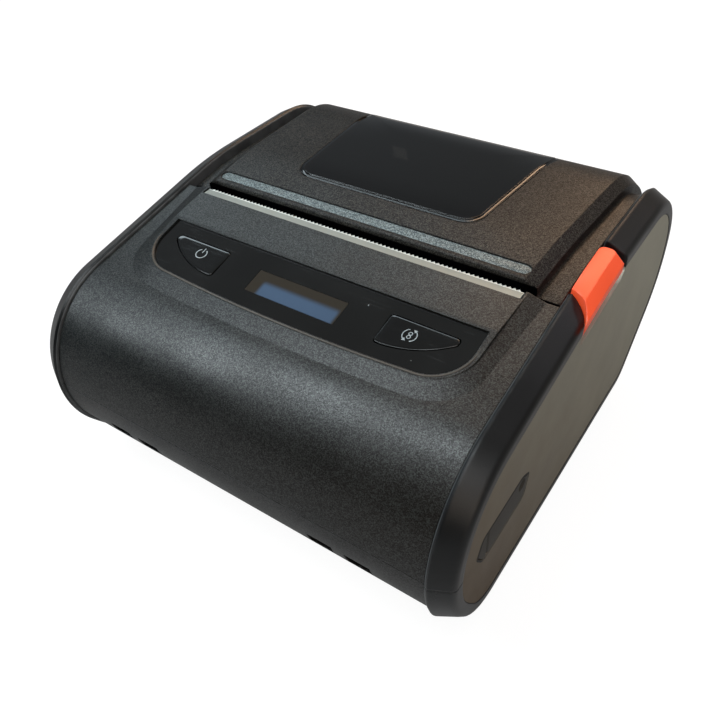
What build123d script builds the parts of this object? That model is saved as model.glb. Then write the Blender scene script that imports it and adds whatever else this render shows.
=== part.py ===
"""Portable receipt printer: two casing halves, end caps, hinged paper cover and print mechanism.

Frame, in millimetres: +X to the user's right, +Y to the back, +Z up. The origin is on the table,
under the middle of the printer.
"""
from build123d import *
import math
import os

# End outline of the printer, seen from its right side: corner Y, corner Z, corner radius.
OUTLINE = (
    (-46.5, 2.3, 16.0),
    (-59.3, 21.5, 25.8),
    (-53.2, 47.9, 23.4),
    (4.6, 58.0, 96.0),
    (55.6, 57.9, 22.0),
    (56.3, 24.4, 24.8),
    (36.4, 2.3, 9.2),
)

# Clearances
GAP = 0.3
SEAT_GAP = 0.1
RUN_GAP = 0.05
PRESS_GAP = 0.02

# Casing halves, as wide as the paper and the room beside it for gears and bushes
PAPER_WIDTH = 80.0
PAPER_HALF = PAPER_WIDTH / 2
SIDE_ROOM = 8.4
CASING_HALF_X = PAPER_HALF + SIDE_ROOM
CASING_DROP = 0.95
CASING_WALL = 2.0
END_WALL = 2.0
SPLIT_Z = 27.6
SPLIT_GAP = 0.1

# End caps
CAP_SEAM = 0.2
CAP_WIDTH = 5.2
CAP_INNER_X = CASING_HALF_X + CAP_SEAM
CAP_OUTER_X = CAP_INNER_X + CAP_WIDTH
CAP_PROUD = 0.3
CAP_SLOPE = 2.6
CAP_EDGE_R = 1.6
CAP_INNER_EDGE = 0.8
CAP_RIM = 6.0
CAP_WALL = 1.2
PANEL_SINK = 0.1
PANEL_FACE_X = CAP_OUTER_X - PANEL_SINK
PANEL_THICK = 2.0
PANEL_INSET = 5.0
PANEL_SEAT_X = PANEL_FACE_X - PANEL_THICK
CAP_WALL_X = PANEL_SEAT_X - CAP_WALL

# Control panel plane: its top edge, tilt and outline
PANEL_TOP_Y = -19.15
PANEL_TOP_Z = 54.0
PANEL_TILT = 13.0
PANEL_HALF = PAPER_HALF
PANEL_LENGTH = 14.8
PANEL_SIDE = 13.0
PANEL_CORNER_R = 8.5
OVERLAY_THICK = 1.2
BEZEL_RISE = 0.45

# Raised bezel round the control panel
HUMP_SIDE = 5.8
HUMP_HALF = PANEL_HALF + HUMP_SIDE
HUMP_FRONT_Y = -43.2
HUMP_MARGIN = 0.9
HUMP_RUNOUT = 20.0
HUMP_CORNER_R = 12.0
HUMP_BASE_Z = 44.0
HUMP_STEP = 1.1
DECK_RISE = 1.0
DECK_SLOPE = 0.4 * math.tan(math.radians(PANEL_TILT))

# Keys and display, in the control panel's own plane
KEY_LENGTH = 15.2
KEY_END_MARGIN = 3.8
KEY_OUTER_X = PANEL_HALF - KEY_END_MARGIN
KEY_INNER_X = KEY_OUTER_X - KEY_LENGTH
KEY_TOP = -3.5
KEY_BOTTOM = -10.8
KEY_OUTER_BOTTOM = -4.9
KEY_BULGE = 1.7
KEY_R = 0.7
KEY_PROUD = 0.25
KEY_DEPTH = 4.0
KEY_TRAVEL = 0.6
KEY_FIT = 0.2
LENS_HALF = 11.4
LENS_TOP = -4.8
LENS_BOTTOM = -10.7
DISPLAY_HALF = 13.0
DISPLAY_MARGIN = 1.5
LIGHT_X = 15.4
LIGHT_Y = -3.5
LIGHT_R = 0.5
KEY_BOARD_TOP = -7.5
KEY_BOARD_THICK = 1.6
KEY_BOARD_REACH = 0.6
KEY_BOARD_HALF = PANEL_HALF + KEY_BOARD_REACH
KEY_BOARD_END = 1.4
KEY_POST_INSET = 1.2
KEY_POST_X = PANEL_HALF - KEY_POST_INSET
KEY_POST_Y = -7.0
KEY_POST_R = 1.6
KEY_POST_ROOT = -1.7
KEY_SCREW_TOP = -5.3
SWITCH_SIZE = 6.0
SWITCH_BODY = 1.9
SWITCH_BUTTON_R = 1.7
SWITCH_BUTTON = 0.4
SWITCH_X = (KEY_INNER_X + KEY_OUTER_X) / 2
SWITCH_Y = -7.0

# Tear bar and the deck that holds it
COVER_LINE_Y = -6.8
BAR_MARGIN = 1.2
BAR_HALF = PAPER_HALF + BAR_MARGIN
BAR_DEPTH = 2.1
BAR_THICK = 0.6
TOOTH_PITCH = 1.0
TOOTH_DEPTH = 0.55
TOOTH_END = 0.6

# Paper cover
COVER_HALF_X = CASING_HALF_X - 2 * GAP
COVER_RISE = 1.3
FLANGE_DROP = 2.3
FLANGE_THICK = 1.8
COVER_SKIN = 1.9
COVER_FRONT_Y = -5.2
COVER_EAR_Y = COVER_LINE_Y + GAP
COVER_REAR_Z = 34.4
FLANGE_WIDTH = 4.9
RAISED_FLARE = 2.3
RAISED_HALF_FRONT = COVER_HALF_X - FLANGE_WIDTH
RAISED_HALF_REAR = RAISED_HALF_FRONT + RAISED_FLARE
RAISED_REAR_Y = 45.0
RAISED_CHAMFER = 1.6
RAISED_CHAMFER_DROP = 2.56
GROOVE_Y = -2.6
GROOVE_MARGIN = 0.4
GROOVE_HALF = PAPER_HALF + GROOVE_MARGIN
GROOVE_WIDTH = 2.8
GROOVE_DEPTH = 0.4

# Window in the cover, in plan
WINDOW_FRONT_Y = 4.8
WINDOW_REAR_Y = 44.6
WINDOW_HALF_FRONT = 24.2
WINDOW_FLARE = 3.0
WINDOW_HALF_REAR = WINDOW_HALF_FRONT + WINDOW_FLARE
WINDOW_CORNER_R = 5.0
WINDOW_REAR_R = 3.0
WINDOW_THICK = 1.4
WINDOW_PROUD = 0.3
WINDOW_LEDGE = 1.4

# Hinge
HINGE_Y = 54.3
HINGE_Z = 36.4
KNUCKLE_R = 2.1
HINGE_SWEEP_R = 4.0
PIN_R = 1.0
CASE_KNUCKLE_X = 24.0
CASE_KNUCKLE_W = 5.6
COVER_KNUCKLE_W = 9.8
HINGE_NOTCH_Z = 42.0

# Paper bin
BIN_Y = 25.4
BIN_Z = 30.0
BIN_R = 22.5
BIN_WALL = 0.9
BIN_PAPER_GAP = 0.2
BIN_HALF_X = PAPER_HALF + BIN_PAPER_GAP
BIN_TOP_Z = 46.0
BIN_LIP_Y = 10.0
BIN_LIP_Z = 38.0
SENSOR_X = 8.0
SENSOR_WIDTH = 8.0
SENSOR_DEPTH = 4.4
SENSOR_HEIGHT = 4.0

# Side cheeks of the mechanism frame, with the platen's arms just outside them
CHEEK_ROOM = 1.3
CHEEK_X = PAPER_HALF + CHEEK_ROOM
CHEEK_THICK = 1.0
ARM_GAP = 0.4
ARM_X = CHEEK_X + CHEEK_THICK + ARM_GAP

# Platen
PLATEN_Y = 1.5
PLATEN_Z = 45.0
PLATEN_R = 5.0
SHAFT_R = 2.0
SHAFT_RIGHT_X = CASING_HALF_X - END_WALL - 2 * GAP
BUSH_R = 3.5
BUSH_ROOM = 0.7
BUSH_INNER_X = PAPER_HALF + BUSH_ROOM
ARM_THICK = 1.4
ARM_R = 3.4
BEAM_FRONT_Y = -3.0
BEAM_REAR_Y = 7.6
BEAM_Z = 50.5
BEAM_GAP = 0.3
HOLDER_SCREW_X = 25.0
HOLDER_SCREW_Y = 5.9
HOLDER_BOSS_R = 2.0

# Gear train: module and tooth counts, then the motor's place
MODULE = 0.5
PINION_TEETH = 12
REDUCER_BIG_TEETH = 26
REDUCER_SMALL_TEETH = 16
PLATEN_TEETH = 28
PRESSURE_ANGLE = 20.0
BACKLASH = 0.12
GEAR_WIDTH = 1.4
GEAR_GAP = 0.2
SHAFT_END = 0.3
FIRST_GEAR_X = -ARM_X
SECOND_GEAR_X = FIRST_GEAR_X - GEAR_WIDTH - GEAR_GAP
SHAFT_LEFT_X = SECOND_GEAR_X - GEAR_WIDTH - SHAFT_END
STUD_R = 1.0
MOTOR_Y = -12.0
MOTOR_Z = 32.0
MOTOR_R = 8.2
MOTOR_LENGTH = 13.0
MOTOR_BOSS_R = 2.4
MOTOR_SHAFT_R = 0.75

# Mechanism frame
CROSS_BAR_Y = -14.0
CROSS_BAR_BOTTOM = 41.5
FRAME_TOP = 50.8
FRAME_FOOT_Z = 23.0
FRAME_FOOT_INSET = 5.3
FRAME_FOOT_X = CHEEK_X - FRAME_FOOT_INSET
FRAME_FOOT_Y = -2.4
FRAME_POST_R = 2.3

# Print head
HEAD_MARGIN = 0.6
HEAD_HALF_X = PAPER_HALF + HEAD_MARGIN
HEAD_BOTTOM = 40.9
HEAD_TOP = 49.6
HEAD_THICK = 1.0
SINK_THICK = 4.0
SINK_TOP = 50.4
HEAD_SPRING_X = 20.0
HEAD_SPRING_Z = 46.0
HEAD_SPRING_R = 1.7
HEAD_SPRING_WIRE = 0.25
HEAD_SPRING_TURNS = 4

# Release slide in the right end cap
SLIDE_INSET = 0.4
SLIDE_STANDS = 0.6
SLIDE_INNER_X = CAP_INNER_X + SLIDE_INSET
SLIDE_OUTER_X = CAP_OUTER_X + SLIDE_STANDS
SLIDE_PROUD = 0.7
SLIDE_THICK = 3.8
SLIDE_FRONT_Y = -3.2
SLIDE_NOSE_Y = -9.5
SLIDE_REAR_Y = 11.2
SLIDE_CORNER_R = 1.2
SLIDE_CHAMFER = 2.0
SLIDE_TRAVEL = 3.0
SLIDE_WEB_X = CAP_INNER_X + CAP_SEAM
SLIDE_WEB_THICK = 1.4
SLIDE_WEB_FRONT = -2.2
SLIDE_WEB_REAR = 4.6
SLIDE_ARM_FRONT = -7.0
SLIDE_ARM_REAR = -2.2
SLIDE_ARM_BOTTOM = 41.0
SLIDE_ARM_TOP = 44.5
SLIDE_ARM_REACH = 1.9
SLIDE_ARM_TIP_X = CASING_HALF_X - END_WALL - SLIDE_ARM_REACH
NOTCH_FLOOR = 7.0
NOTCH_END = 0.5
PANEL_NOTCH = ((-7.6, 47.7), (13.2, 50.6), (14.9, 52.1), (15.5, 64.0), (-7.6, 64.0))
SLIDE_SPRING_R = 0.6
SLIDE_SPRING_WIRE = 0.16
SLIDE_SPRING_TURNS = 9
SLIDE_SPRING_Z = 43.5
SPRING_STOP_Y = 16.0
SPRING_STOP_THICK = 1.4

# Port flap on the right side panel: corner Y, corner Z, corner radius
FLAP = (
    (-46.7, 27.1, 0.8),
    (-44.9, 30.5, 1.6),
    (-29.2, 31.0, 2.2),
    (-26.2, 29.4, 1.0),
    (-27.6, 24.1, 1.8),
    (-44.2, 23.7, 2.0),
)
FLAP_THICK = 1.8
FLAP_HINGE_Y = -42.2
FLAP_HINGE_X = PANEL_FACE_X - FLAP_THICK / 2
FLAP_FIT = 0.25
FLAP_PIN_R = 0.5
FLAP_PIN_REACH = 0.9
NAIL_Y = -28.9
NAIL_Z = 29.0
NAIL_R = 1.7
PORT_Y0 = -47.6
PORT_Y1 = -29.6
PORT_Z0 = 24.9
PORT_Z1 = 29.7
PORT_COLLAR = 0.8
SOCKET_Y = -37.0
SOCKET_WIDTH = 9.0
SOCKET_HEIGHT = 3.2
SOCKET_SINK = 1.2
SOCKET_FACE_X = CASING_HALF_X - SOCKET_SINK
SOCKET_LENGTH = 8.4

# Boards and battery
BOARD_TOP = 25.6
BOARD_THICK = 1.6
BOARD_MARGIN = 1.0
BOARD_HALF_X = PAPER_HALF + BOARD_MARGIN
BOARD_FRONT_Y = -50.0
BOARD_REAR_Y = -24.0
BOARD_TAB_GAP = 3.4
BOARD_TAB_X = CASING_HALF_X - BOARD_TAB_GAP
BOARD_POST_INSET = 2.2
BOARD_POST_X = BOARD_HALF_X - BOARD_POST_INSET
BOARD_POST_FRONT_Y = -46.6
BOARD_POST_REAR_Y = -27.0
BOARD_POST_R = 2.0
CHIPS = ((-8, -37, 12, 12), (9, -32, 8, 6), (9, -44, 6, 5), (-24, -31, 7, 7))
CHIP_HEIGHT = 1.3
CAPACITOR_R = 2.5
CAPACITOR_X = 24.0
CAPACITOR_PITCH = 7.0
CAPACITOR_Y = -46.0
CAPACITOR_HEIGHT = 7.0
BUZZER_R = 4.5
BUZZER_X = -30.0
BUZZER_Y = -42.0
BUZZER_HEIGHT = 4.0
BUZZER_HOLE_R = 0.8
BATTERY_HALF_X = 30.9
BATTERY_FRONT_Y = -33.8
BATTERY_REAR_Y = -6.2
BATTERY_BOTTOM = 5.4
BATTERY_TOP = 21.4
BATTERY_R = 2.0
BAY_WALL = 1.2
BAY_WALL_TOP = 16.0
DOOR_LIP = 3.2
DOOR_PLATE = 1.0
DOOR_FIT = 0.2
DOOR_HALF_X = 34.4
DOOR_FRONT_Y = -37.4
DOOR_REAR_Y = -2.6
DOOR_SCREW_X = 20.0

# Fixings and feet
SCREW_FRONT_Y = -24.6
SCREW_REAR_Y = 25.0
SCREW_R = 1.0
SCREW_HEAD_R = 1.9
SCREW_HEAD = 1.4
BOSS_R = 2.1
SCREW_X = CASING_HALF_X - END_WALL - BOSS_R + SEAT_GAP
SMALL_SCREW_R = 0.8
SMALL_HEAD_R = 1.3
SMALL_HEAD = 0.9
SMALL_REACH = 4.0
FOOT_X = PAPER_HALF
FOOT_FRONT_Y = -32.5
FOOT_REAR_Y = 17.0
FOOT_R = 4.0
FOOT_SINK = 0.6
SLOT_X = (24.0, 33.0)
SLOT_WIDTH = 6.0
SLOT_Z0 = 17.2
SLOT_Z1 = 20.9

FLOOR_Z = OUTLINE[0][1] + CASING_DROP
INNER_FLOOR_Z = FLOOR_Z + CASING_WALL
FAR = 80.0


def inset_corners(corners, inset):
    """Corners of a clockwise outline with every side moved inwards by inset."""
    points = [Vector(y, z) for y, z, _ in corners]
    moved = []
    for i, here in enumerate(points):
        into = (here - points[i - 1]).normalized()
        out = (points[(i + 1) % len(points)] - here).normalized()
        first = Vector(into.Y, -into.X)
        second = Vector(out.Y, -out.X)
        moved.append(here + (first + second) * (inset / (1 + first.dot(second))))
    radii = [max(r - inset, 0.3) for _, _, r in corners]
    return moved, radii


def rounded_face(corners, inset=0.0):
    """Face in its own XY plane with filleted corners, every side moved in by inset."""
    points, radii = inset_corners(corners, inset)
    return make_face(FilletPolyline(*points, radius=radii, close=True))


def slab(face, x0, x1):
    """Solid of a side-view face, from x0 to x1."""
    return extrude(Plane.YZ.offset(x0) * face, x1 - x0)


def section(inset, x0, x1):
    """Solid of the end outline moved in by inset, from x0 to x1."""
    return slab(rounded_face(OUTLINE, inset), x0, x1)


def block(x0, x1, y0, y1, z0, z1):
    """Box between two opposite corners."""
    return Pos((x0 + x1) / 2, (y0 + y1) / 2, (z0 + z1) / 2) * Box(x1 - x0, y1 - y0, z1 - z0)


def side_polygon(points, x0, x1):
    """Straight-sided solid of side-view points, from x0 to x1."""
    return slab(make_face(Polyline(*points, close=True)), x0, x1)


def rod(radius, x0, x1, y, z):
    """Cylinder along X."""
    return Pos(x0, y, z) * extrude(Plane.YZ * Circle(radius), x1 - x0)


def post(radius, x, y, z0, z1):
    """Cylinder along Z."""
    return Pos(x, y, z0) * extrude(Circle(radius), z1 - z0)


def both_sides(shape):
    """The shape and its mirror image across the printer's middle plane."""
    return shape + mirror(shape, Plane.YZ)


# The control panel's plane: local x along X, local y up the slope, local z out of the panel.
TILT = math.radians(PANEL_TILT)
PANEL = Plane(
    origin=(0, PANEL_TOP_Y, PANEL_TOP_Z),
    x_dir=(1, 0, 0),
    z_dir=(0, -math.sin(TILT), math.cos(TILT)),
)


def on_panel(face, top, bottom):
    """Solid of a face drawn on the control panel, between two heights over its surface."""
    return extrude(PANEL.offset(bottom) * face, top - bottom)


def panel_point(y, height):
    """Y and Z of a place on the panel's slope."""
    return (
        PANEL_TOP_Y + y * math.cos(TILT) - height * math.sin(TILT),
        PANEL_TOP_Z + y * math.sin(TILT) + height * math.cos(TILT),
    )


def panel_face(grow=0.0):
    """Outline of the glossy overlay: straight top, bowed bottom, round lower corners."""
    half = PANEL_HALF + grow
    low = -PANEL_SIDE - grow
    edges = Polyline((-half, low), (-half, grow), (half, grow), (half, low))
    edges += ThreePointArc((half, low), (0, -PANEL_LENGTH - grow), (-half, low))
    face = make_face(edges)
    corners = face.vertices().sort_by(Axis.Y)[:2]
    return fillet(corners, PANEL_CORNER_R + grow)


def key_face(side, grow=0.0):
    """Outline of one key: square inner end, bowed lower edge that meets the outer end."""
    inner = KEY_INNER_X - grow
    outer = KEY_OUTER_X + grow
    top = KEY_TOP + grow
    low = KEY_BOTTOM - grow
    outer_low = KEY_OUTER_BOTTOM - grow
    middle = ((inner + outer) / 2, (low + outer_low) / 2 - KEY_BULGE)
    edges = Polyline((inner, low), (inner, top), (outer, top), (outer, outer_low))
    edges += ThreePointArc((outer, outer_low), middle, (inner, low))
    face = fillet(make_face(edges).vertices(), KEY_R + grow)
    return face if side > 0 else mirror(face, Plane.YZ)


def lens_face(grow=0.0):
    """Rectangle of the display window."""
    height = LENS_TOP - LENS_BOTTOM + 2 * grow
    return Pos(0, (LENS_TOP + LENS_BOTTOM) / 2) * Rectangle(2 * (LENS_HALF + grow), height)


def deck_rear_z():
    """Height of the deck at its rear edge, along the cover line."""
    return PANEL_TOP_Z + DECK_RISE + (COVER_LINE_Y - PANEL_TOP_Y) * DECK_SLOPE


def slope_plane(front, rear):
    """Plane across the printer that rises from one place to another, each given as Y and Z."""
    rise = math.degrees(math.atan2(rear[1] - front[1], rear[0] - front[0]))
    return Plane(origin=(0, rear[0], rear[1]), x_dir=(1, 0, 0), z_dir=(0, 0, 1)).rotated((rise, 0, 0))


def hump_outline(front, rear, half, rear_half, corner):
    """Outline of the hump on a sloping plane: straight back, bowed front, round front corners."""
    length = math.dist(front, rear)
    low = PANEL_LENGTH - PANEL_SIDE - length
    edges = Polyline((-half, low), (-rear_half, 0), (rear_half, 0), (half, low))
    edges += ThreePointArc((half, low), (0, -length), (-half, low))
    face = make_face(edges)
    return slope_plane(front, rear) * fillet(face.vertices().sort_by(Axis.Y)[:2], corner)


def hump():
    """Raised bezel that slopes down round the control panel, with the deck behind it."""
    deck = (COVER_LINE_Y, deck_rear_z())
    rear = panel_point(HUMP_MARGIN, BEZEL_RISE)
    front = panel_point(-PANEL_LENGTH - HUMP_MARGIN, BEZEL_RISE)
    foot_drop = (front[0] - HUMP_FRONT_Y) * math.tan(math.radians(HUMP_RUNOUT))
    foot_front = (HUMP_FRONT_Y, front[1] - foot_drop)
    foot_rear = (COVER_LINE_Y, deck[1] - HUMP_STEP)
    rim = hump_outline(
        front, deck, PANEL_HALF + HUMP_MARGIN, BAR_HALF + HUMP_MARGIN, PANEL_CORNER_R + HUMP_MARGIN
    )
    foot = hump_outline(foot_front, foot_rear, HUMP_HALF, HUMP_HALF, HUMP_CORNER_R)
    solid = loft([foot.faces()[0], rim.faces()[0]], ruled=True)
    solid += extrude(rim, HUMP_STEP) + extrude(foot, -HUMP_STEP)
    top = side_polygon(
        (
            (COVER_LINE_Y, HUMP_BASE_Z),
            deck,
            rear,
            front,
            (HUMP_FRONT_Y - HUMP_MARGIN, front[1]),
            (HUMP_FRONT_Y - HUMP_MARGIN, HUMP_BASE_Z),
        ),
        -HUMP_HALF - HUMP_MARGIN,
        HUMP_HALF + HUMP_MARGIN,
    )
    return solid & top


def casing_blank():
    """Both casing halves in one, before the split."""
    shell = section(CASING_DROP, -CASING_HALF_X, CASING_HALF_X) + hump()
    inner_x = CASING_HALF_X - END_WALL
    return shell - section(CASING_DROP + CASING_WALL, -inner_x, inner_x)


def casing_screw_places():
    """Centres of the casing screws, right side first."""
    return [(s * SCREW_X, y) for s in (1, -1) for y in (SCREW_FRONT_Y, SCREW_REAR_Y)]


def case_knuckles():
    """Hinge knuckles that stand on the casing's rear wall."""
    far_x = CASE_KNUCKLE_X + CASE_KNUCKLE_W
    knuckle = rod(KNUCKLE_R, CASE_KNUCKLE_X, far_x, HINGE_Y, HINGE_Z)
    web = block(CASE_KNUCKLE_X, far_x, HINGE_Y - KNUCKLE_R, HINGE_Y, SPLIT_Z + 3, HINGE_Z)
    bore = rod(PIN_R + RUN_GAP, CASE_KNUCKLE_X - 1, far_x + 1, HINGE_Y, HINGE_Z)
    return both_sides((knuckle + web) & section(-CAP_PROUD, 0, FAR)) - both_sides(bore)


def bar_rebate():
    """Step in the deck that takes the tear bar."""
    y0 = COVER_LINE_Y - BAR_DEPTH - SEAT_GAP
    z = deck_bar_z() - BAR_THICK
    return block(-BAR_HALF - GAP, BAR_HALF + GAP, y0, COVER_LINE_Y + 1, z, FAR)


def deck_bar_z():
    """Height of the tear bar's top, just under the deck at its front edge."""
    rear_y, rear_z = panel_point(HUMP_MARGIN, BEZEL_RISE)
    deck_z = deck_rear_z()
    share = (COVER_LINE_Y - BAR_DEPTH - rear_y) / (COVER_LINE_Y - rear_y)
    return rear_z + share * (deck_z - rear_z) - SEAT_GAP


def upper_casing():
    """Upper half: front shoulder, deck, end walls and the rear wall under the cover."""
    body = casing_blank() & block(-FAR, FAR, -FAR, FAR, SPLIT_Z + SPLIT_GAP, FAR)
    opening = block(-FAR, FAR, COVER_LINE_Y, FAR, COVER_REAR_Z - SEAT_GAP, FAR)
    under_cover = section(FLANGE_DROP + FLANGE_THICK + GAP, -FAR, FAR)
    body -= opening - under_cover
    body -= block(-BIN_HALF_X - 2, BIN_HALF_X + 2, COVER_LINE_Y, BIN_Y, COVER_REAR_Z, FAR)
    body -= rod(HINGE_SWEEP_R, -FAR, FAR, HINGE_Y, HINGE_Z)
    body += case_knuckles()
    body -= bar_rebate()
    body -= on_panel(panel_face(SEAT_GAP), FAR / 4, -OVERLAY_THICK)
    for side in (-1, 1):
        body -= on_panel(key_face(side, KEY_FIT), 1, -FAR / 8)
    body -= on_panel(display_face(KEY_FIT), 1, -FAR / 8)
    for side in (-1, 1):
        place = Pos(side * KEY_POST_X, KEY_POST_Y) * Circle(KEY_POST_R)
        body += on_panel(place, KEY_POST_ROOT, KEY_BOARD_TOP)
        hole = Pos(side * KEY_POST_X, KEY_POST_Y) * Circle(SMALL_SCREW_R)
        body -= on_panel(hole, KEY_SCREW_TOP + GAP, KEY_BOARD_TOP)
    for x, y in casing_screw_places():
        boss = post(BOSS_R, x, y, SPLIT_Z + SPLIT_GAP, SPLIT_Z + 9)
        body += boss - post(SCREW_R, x, y, SPLIT_Z, SPLIT_Z + 7)
    body -= port_tunnel()
    body -= block(
        CASING_HALF_X - 3,
        FAR,
        SLIDE_ARM_FRONT - GAP,
        SLIDE_ARM_REAR + SLIDE_TRAVEL + GAP,
        SLIDE_ARM_BOTTOM - GAP,
        SLIDE_ARM_TOP + GAP,
    )
    return body


def lower_casing():
    """Lower half: floor, battery bay, posts and bosses, strap slots in the front."""
    body = casing_blank() & block(-FAR, FAR, -FAR, FAR, -FAR, SPLIT_Z)
    inside = section(CASING_DROP + CASING_WALL / 2, -CASING_HALF_X + 1, CASING_HALF_X - 1)
    bay = block(
        -BATTERY_HALF_X - GAP - BAY_WALL,
        BATTERY_HALF_X + GAP + BAY_WALL,
        BATTERY_FRONT_Y - GAP - BAY_WALL,
        BATTERY_REAR_Y + GAP + BAY_WALL,
        INNER_FLOOR_Z - 0.5,
        BAY_WALL_TOP,
    )
    hollow = block(
        -BATTERY_HALF_X - GAP,
        BATTERY_HALF_X + GAP,
        BATTERY_FRONT_Y - GAP,
        BATTERY_REAR_Y + GAP,
        INNER_FLOOR_Z,
        FAR,
    )
    body += (bay - hollow) & inside
    for x in (-BOARD_POST_X, BOARD_POST_X):
        for y in (BOARD_POST_FRONT_Y, BOARD_POST_REAR_Y):
            stem = post(BOARD_POST_R, x, y, INNER_FLOOR_Z - 0.5, BOARD_TOP - BOARD_THICK)
            stem -= post(SMALL_SCREW_R, x, y, BOARD_TOP - SMALL_REACH - BOARD_THICK, BOARD_TOP)
            body += stem & inside
    for x in (-FRAME_FOOT_X, FRAME_FOOT_X):
        stem = post(FRAME_POST_R, x, FRAME_FOOT_Y, INNER_FLOOR_Z - 0.5, FRAME_FOOT_Z)
        body += stem - post(SMALL_SCREW_R, x, FRAME_FOOT_Y, FRAME_FOOT_Z - SMALL_REACH, FRAME_FOOT_Z)
    for x, y in casing_screw_places():
        body += post(BOSS_R, x, y, INNER_FLOOR_Z - 0.5, SPLIT_Z)
        body += post(SCREW_HEAD_R + 1.2, x, y, INNER_FLOOR_Z - 0.5, INNER_FLOOR_Z + 2) & inside
        body -= post(SCREW_R + SEAT_GAP, x, y, 0, SPLIT_Z + 1)
        body -= post(SCREW_HEAD_R + SEAT_GAP, x, y, 0, FLOOR_Z + SCREW_HEAD + GAP)
    body -= block(-DOOR_HALF_X, DOOR_HALF_X, DOOR_FRONT_Y, DOOR_REAR_Y, 0, FLOOR_Z + DOOR_PLATE)
    body -= block(
        -DOOR_HALF_X + DOOR_LIP,
        DOOR_HALF_X - DOOR_LIP,
        DOOR_FRONT_Y + DOOR_LIP,
        DOOR_REAR_Y - DOOR_LIP,
        0,
        INNER_FLOOR_Z + 1,
    )
    for x in (-DOOR_SCREW_X, DOOR_SCREW_X):
        body -= post(SMALL_SCREW_R, x, DOOR_REAR_Y - DOOR_LIP / 2, 0, INNER_FLOOR_Z - 0.1)
    for x, y in foot_places():
        body -= post(FOOT_R + SEAT_GAP, x, y, 0, FLOOR_Z + FOOT_SINK)
    for x in SLOT_X:
        slot = block(x - SLOT_WIDTH / 2, x + SLOT_WIDTH / 2, -FAR, BOARD_FRONT_Y, SLOT_Z0, SLOT_Z1)
        body -= both_sides(slot)
    return body - port_tunnel()


def port_tunnel():
    """Room from the side panel to the socket, through the cap and the casing's end wall."""
    return block(CASING_HALF_X - 3, PANEL_SEAT_X + 0.5, PORT_Y0, PORT_Y1, PORT_Z0, PORT_Z1)


def display_face(grow=0.0):
    """Rectangle of the display module behind its window."""
    height = LENS_TOP - LENS_BOTTOM + 2 * (DISPLAY_MARGIN + grow)
    return Pos(0, (LENS_TOP + LENS_BOTTOM) / 2) * Rectangle(2 * (DISPLAY_HALF + grow), height)


def control_panel():
    """Glossy overlay with holes for the keys, the display window and the light."""
    face = panel_face() - lens_face(SEAT_GAP)
    for side in (-1, 1):
        face -= key_face(side, KEY_FIT)
    face -= Pos(LIGHT_X, LIGHT_Y) * Circle(LIGHT_R + PRESS_GAP)
    return on_panel(face, 0, -OVERLAY_THICK)


def key(side):
    """One key: glossy cap that runs in the casing's hole, with a stem over its switch."""
    cap = on_panel(key_face(side), KEY_PROUD, -KEY_DEPTH)
    stem = Pos(side * SWITCH_X, SWITCH_Y) * Circle(SWITCH_BUTTON_R)
    gap = KEY_BOARD_TOP + SWITCH_BODY + SWITCH_BUTTON + KEY_TRAVEL + 0.2
    return cap + on_panel(stem, -KEY_DEPTH + 0.5, gap)


def key_board():
    """Circuit board under the control panel."""
    height = PANEL_LENGTH - 2 * KEY_BOARD_END
    face = Pos(0, -PANEL_LENGTH / 2) * Rectangle(2 * KEY_BOARD_HALF, height)
    for side in (-1, 1):
        face -= Pos(side * KEY_POST_X, KEY_POST_Y) * Circle(SMALL_SCREW_R + SEAT_GAP)
    return on_panel(face, KEY_BOARD_TOP, KEY_BOARD_TOP - KEY_BOARD_THICK)


def tact_switches():
    """The two switches under the keys."""
    result = []
    for side in (-1, 1):
        place = Pos(side * SWITCH_X, SWITCH_Y)
        base = on_panel(place * Rectangle(SWITCH_SIZE, SWITCH_SIZE), KEY_BOARD_TOP + SWITCH_BODY, KEY_BOARD_TOP)
        top = KEY_BOARD_TOP + SWITCH_BODY + SWITCH_BUTTON
        result.append(base + on_panel(place * Circle(SWITCH_BUTTON_R), top, KEY_BOARD_TOP))
    return Compound(children=result)


def small_screws_on_panel():
    """Screws that hold the key board to its posts."""
    low = KEY_BOARD_TOP - KEY_BOARD_THICK
    result = []
    for side in (-1, 1):
        place = Pos(side * KEY_POST_X, KEY_POST_Y)
        head = on_panel(place * Circle(SMALL_HEAD_R), low, low - SMALL_HEAD)
        shank = on_panel(place * Circle(SMALL_SCREW_R - PRESS_GAP), KEY_SCREW_TOP, low)
        result.append(head + shank)
    return Compound(children=result)


def tear_bar():
    """Bent steel strip with a sawtooth edge along the paper slot."""
    y0 = COVER_LINE_Y - BAR_DEPTH
    root = COVER_LINE_Y - SEAT_GAP
    count = round(2 * (BAR_HALF - TOOTH_END) / TOOTH_PITCH)
    start = -count * TOOTH_PITCH / 2
    edge = [(-BAR_HALF, y0), (-BAR_HALF, root)]
    for i in range(count):
        x = start + i * TOOTH_PITCH
        edge += [(x, root), (x + TOOTH_PITCH / 2, root + TOOTH_DEPTH)]
    edge += [(-start, root), (BAR_HALF, root), (BAR_HALF, y0)]
    top = deck_bar_z()
    strip = extrude(Pos(0, 0, top - BAR_THICK) * make_face(Polyline(*edge, close=True)), BAR_THICK)
    return strip


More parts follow.
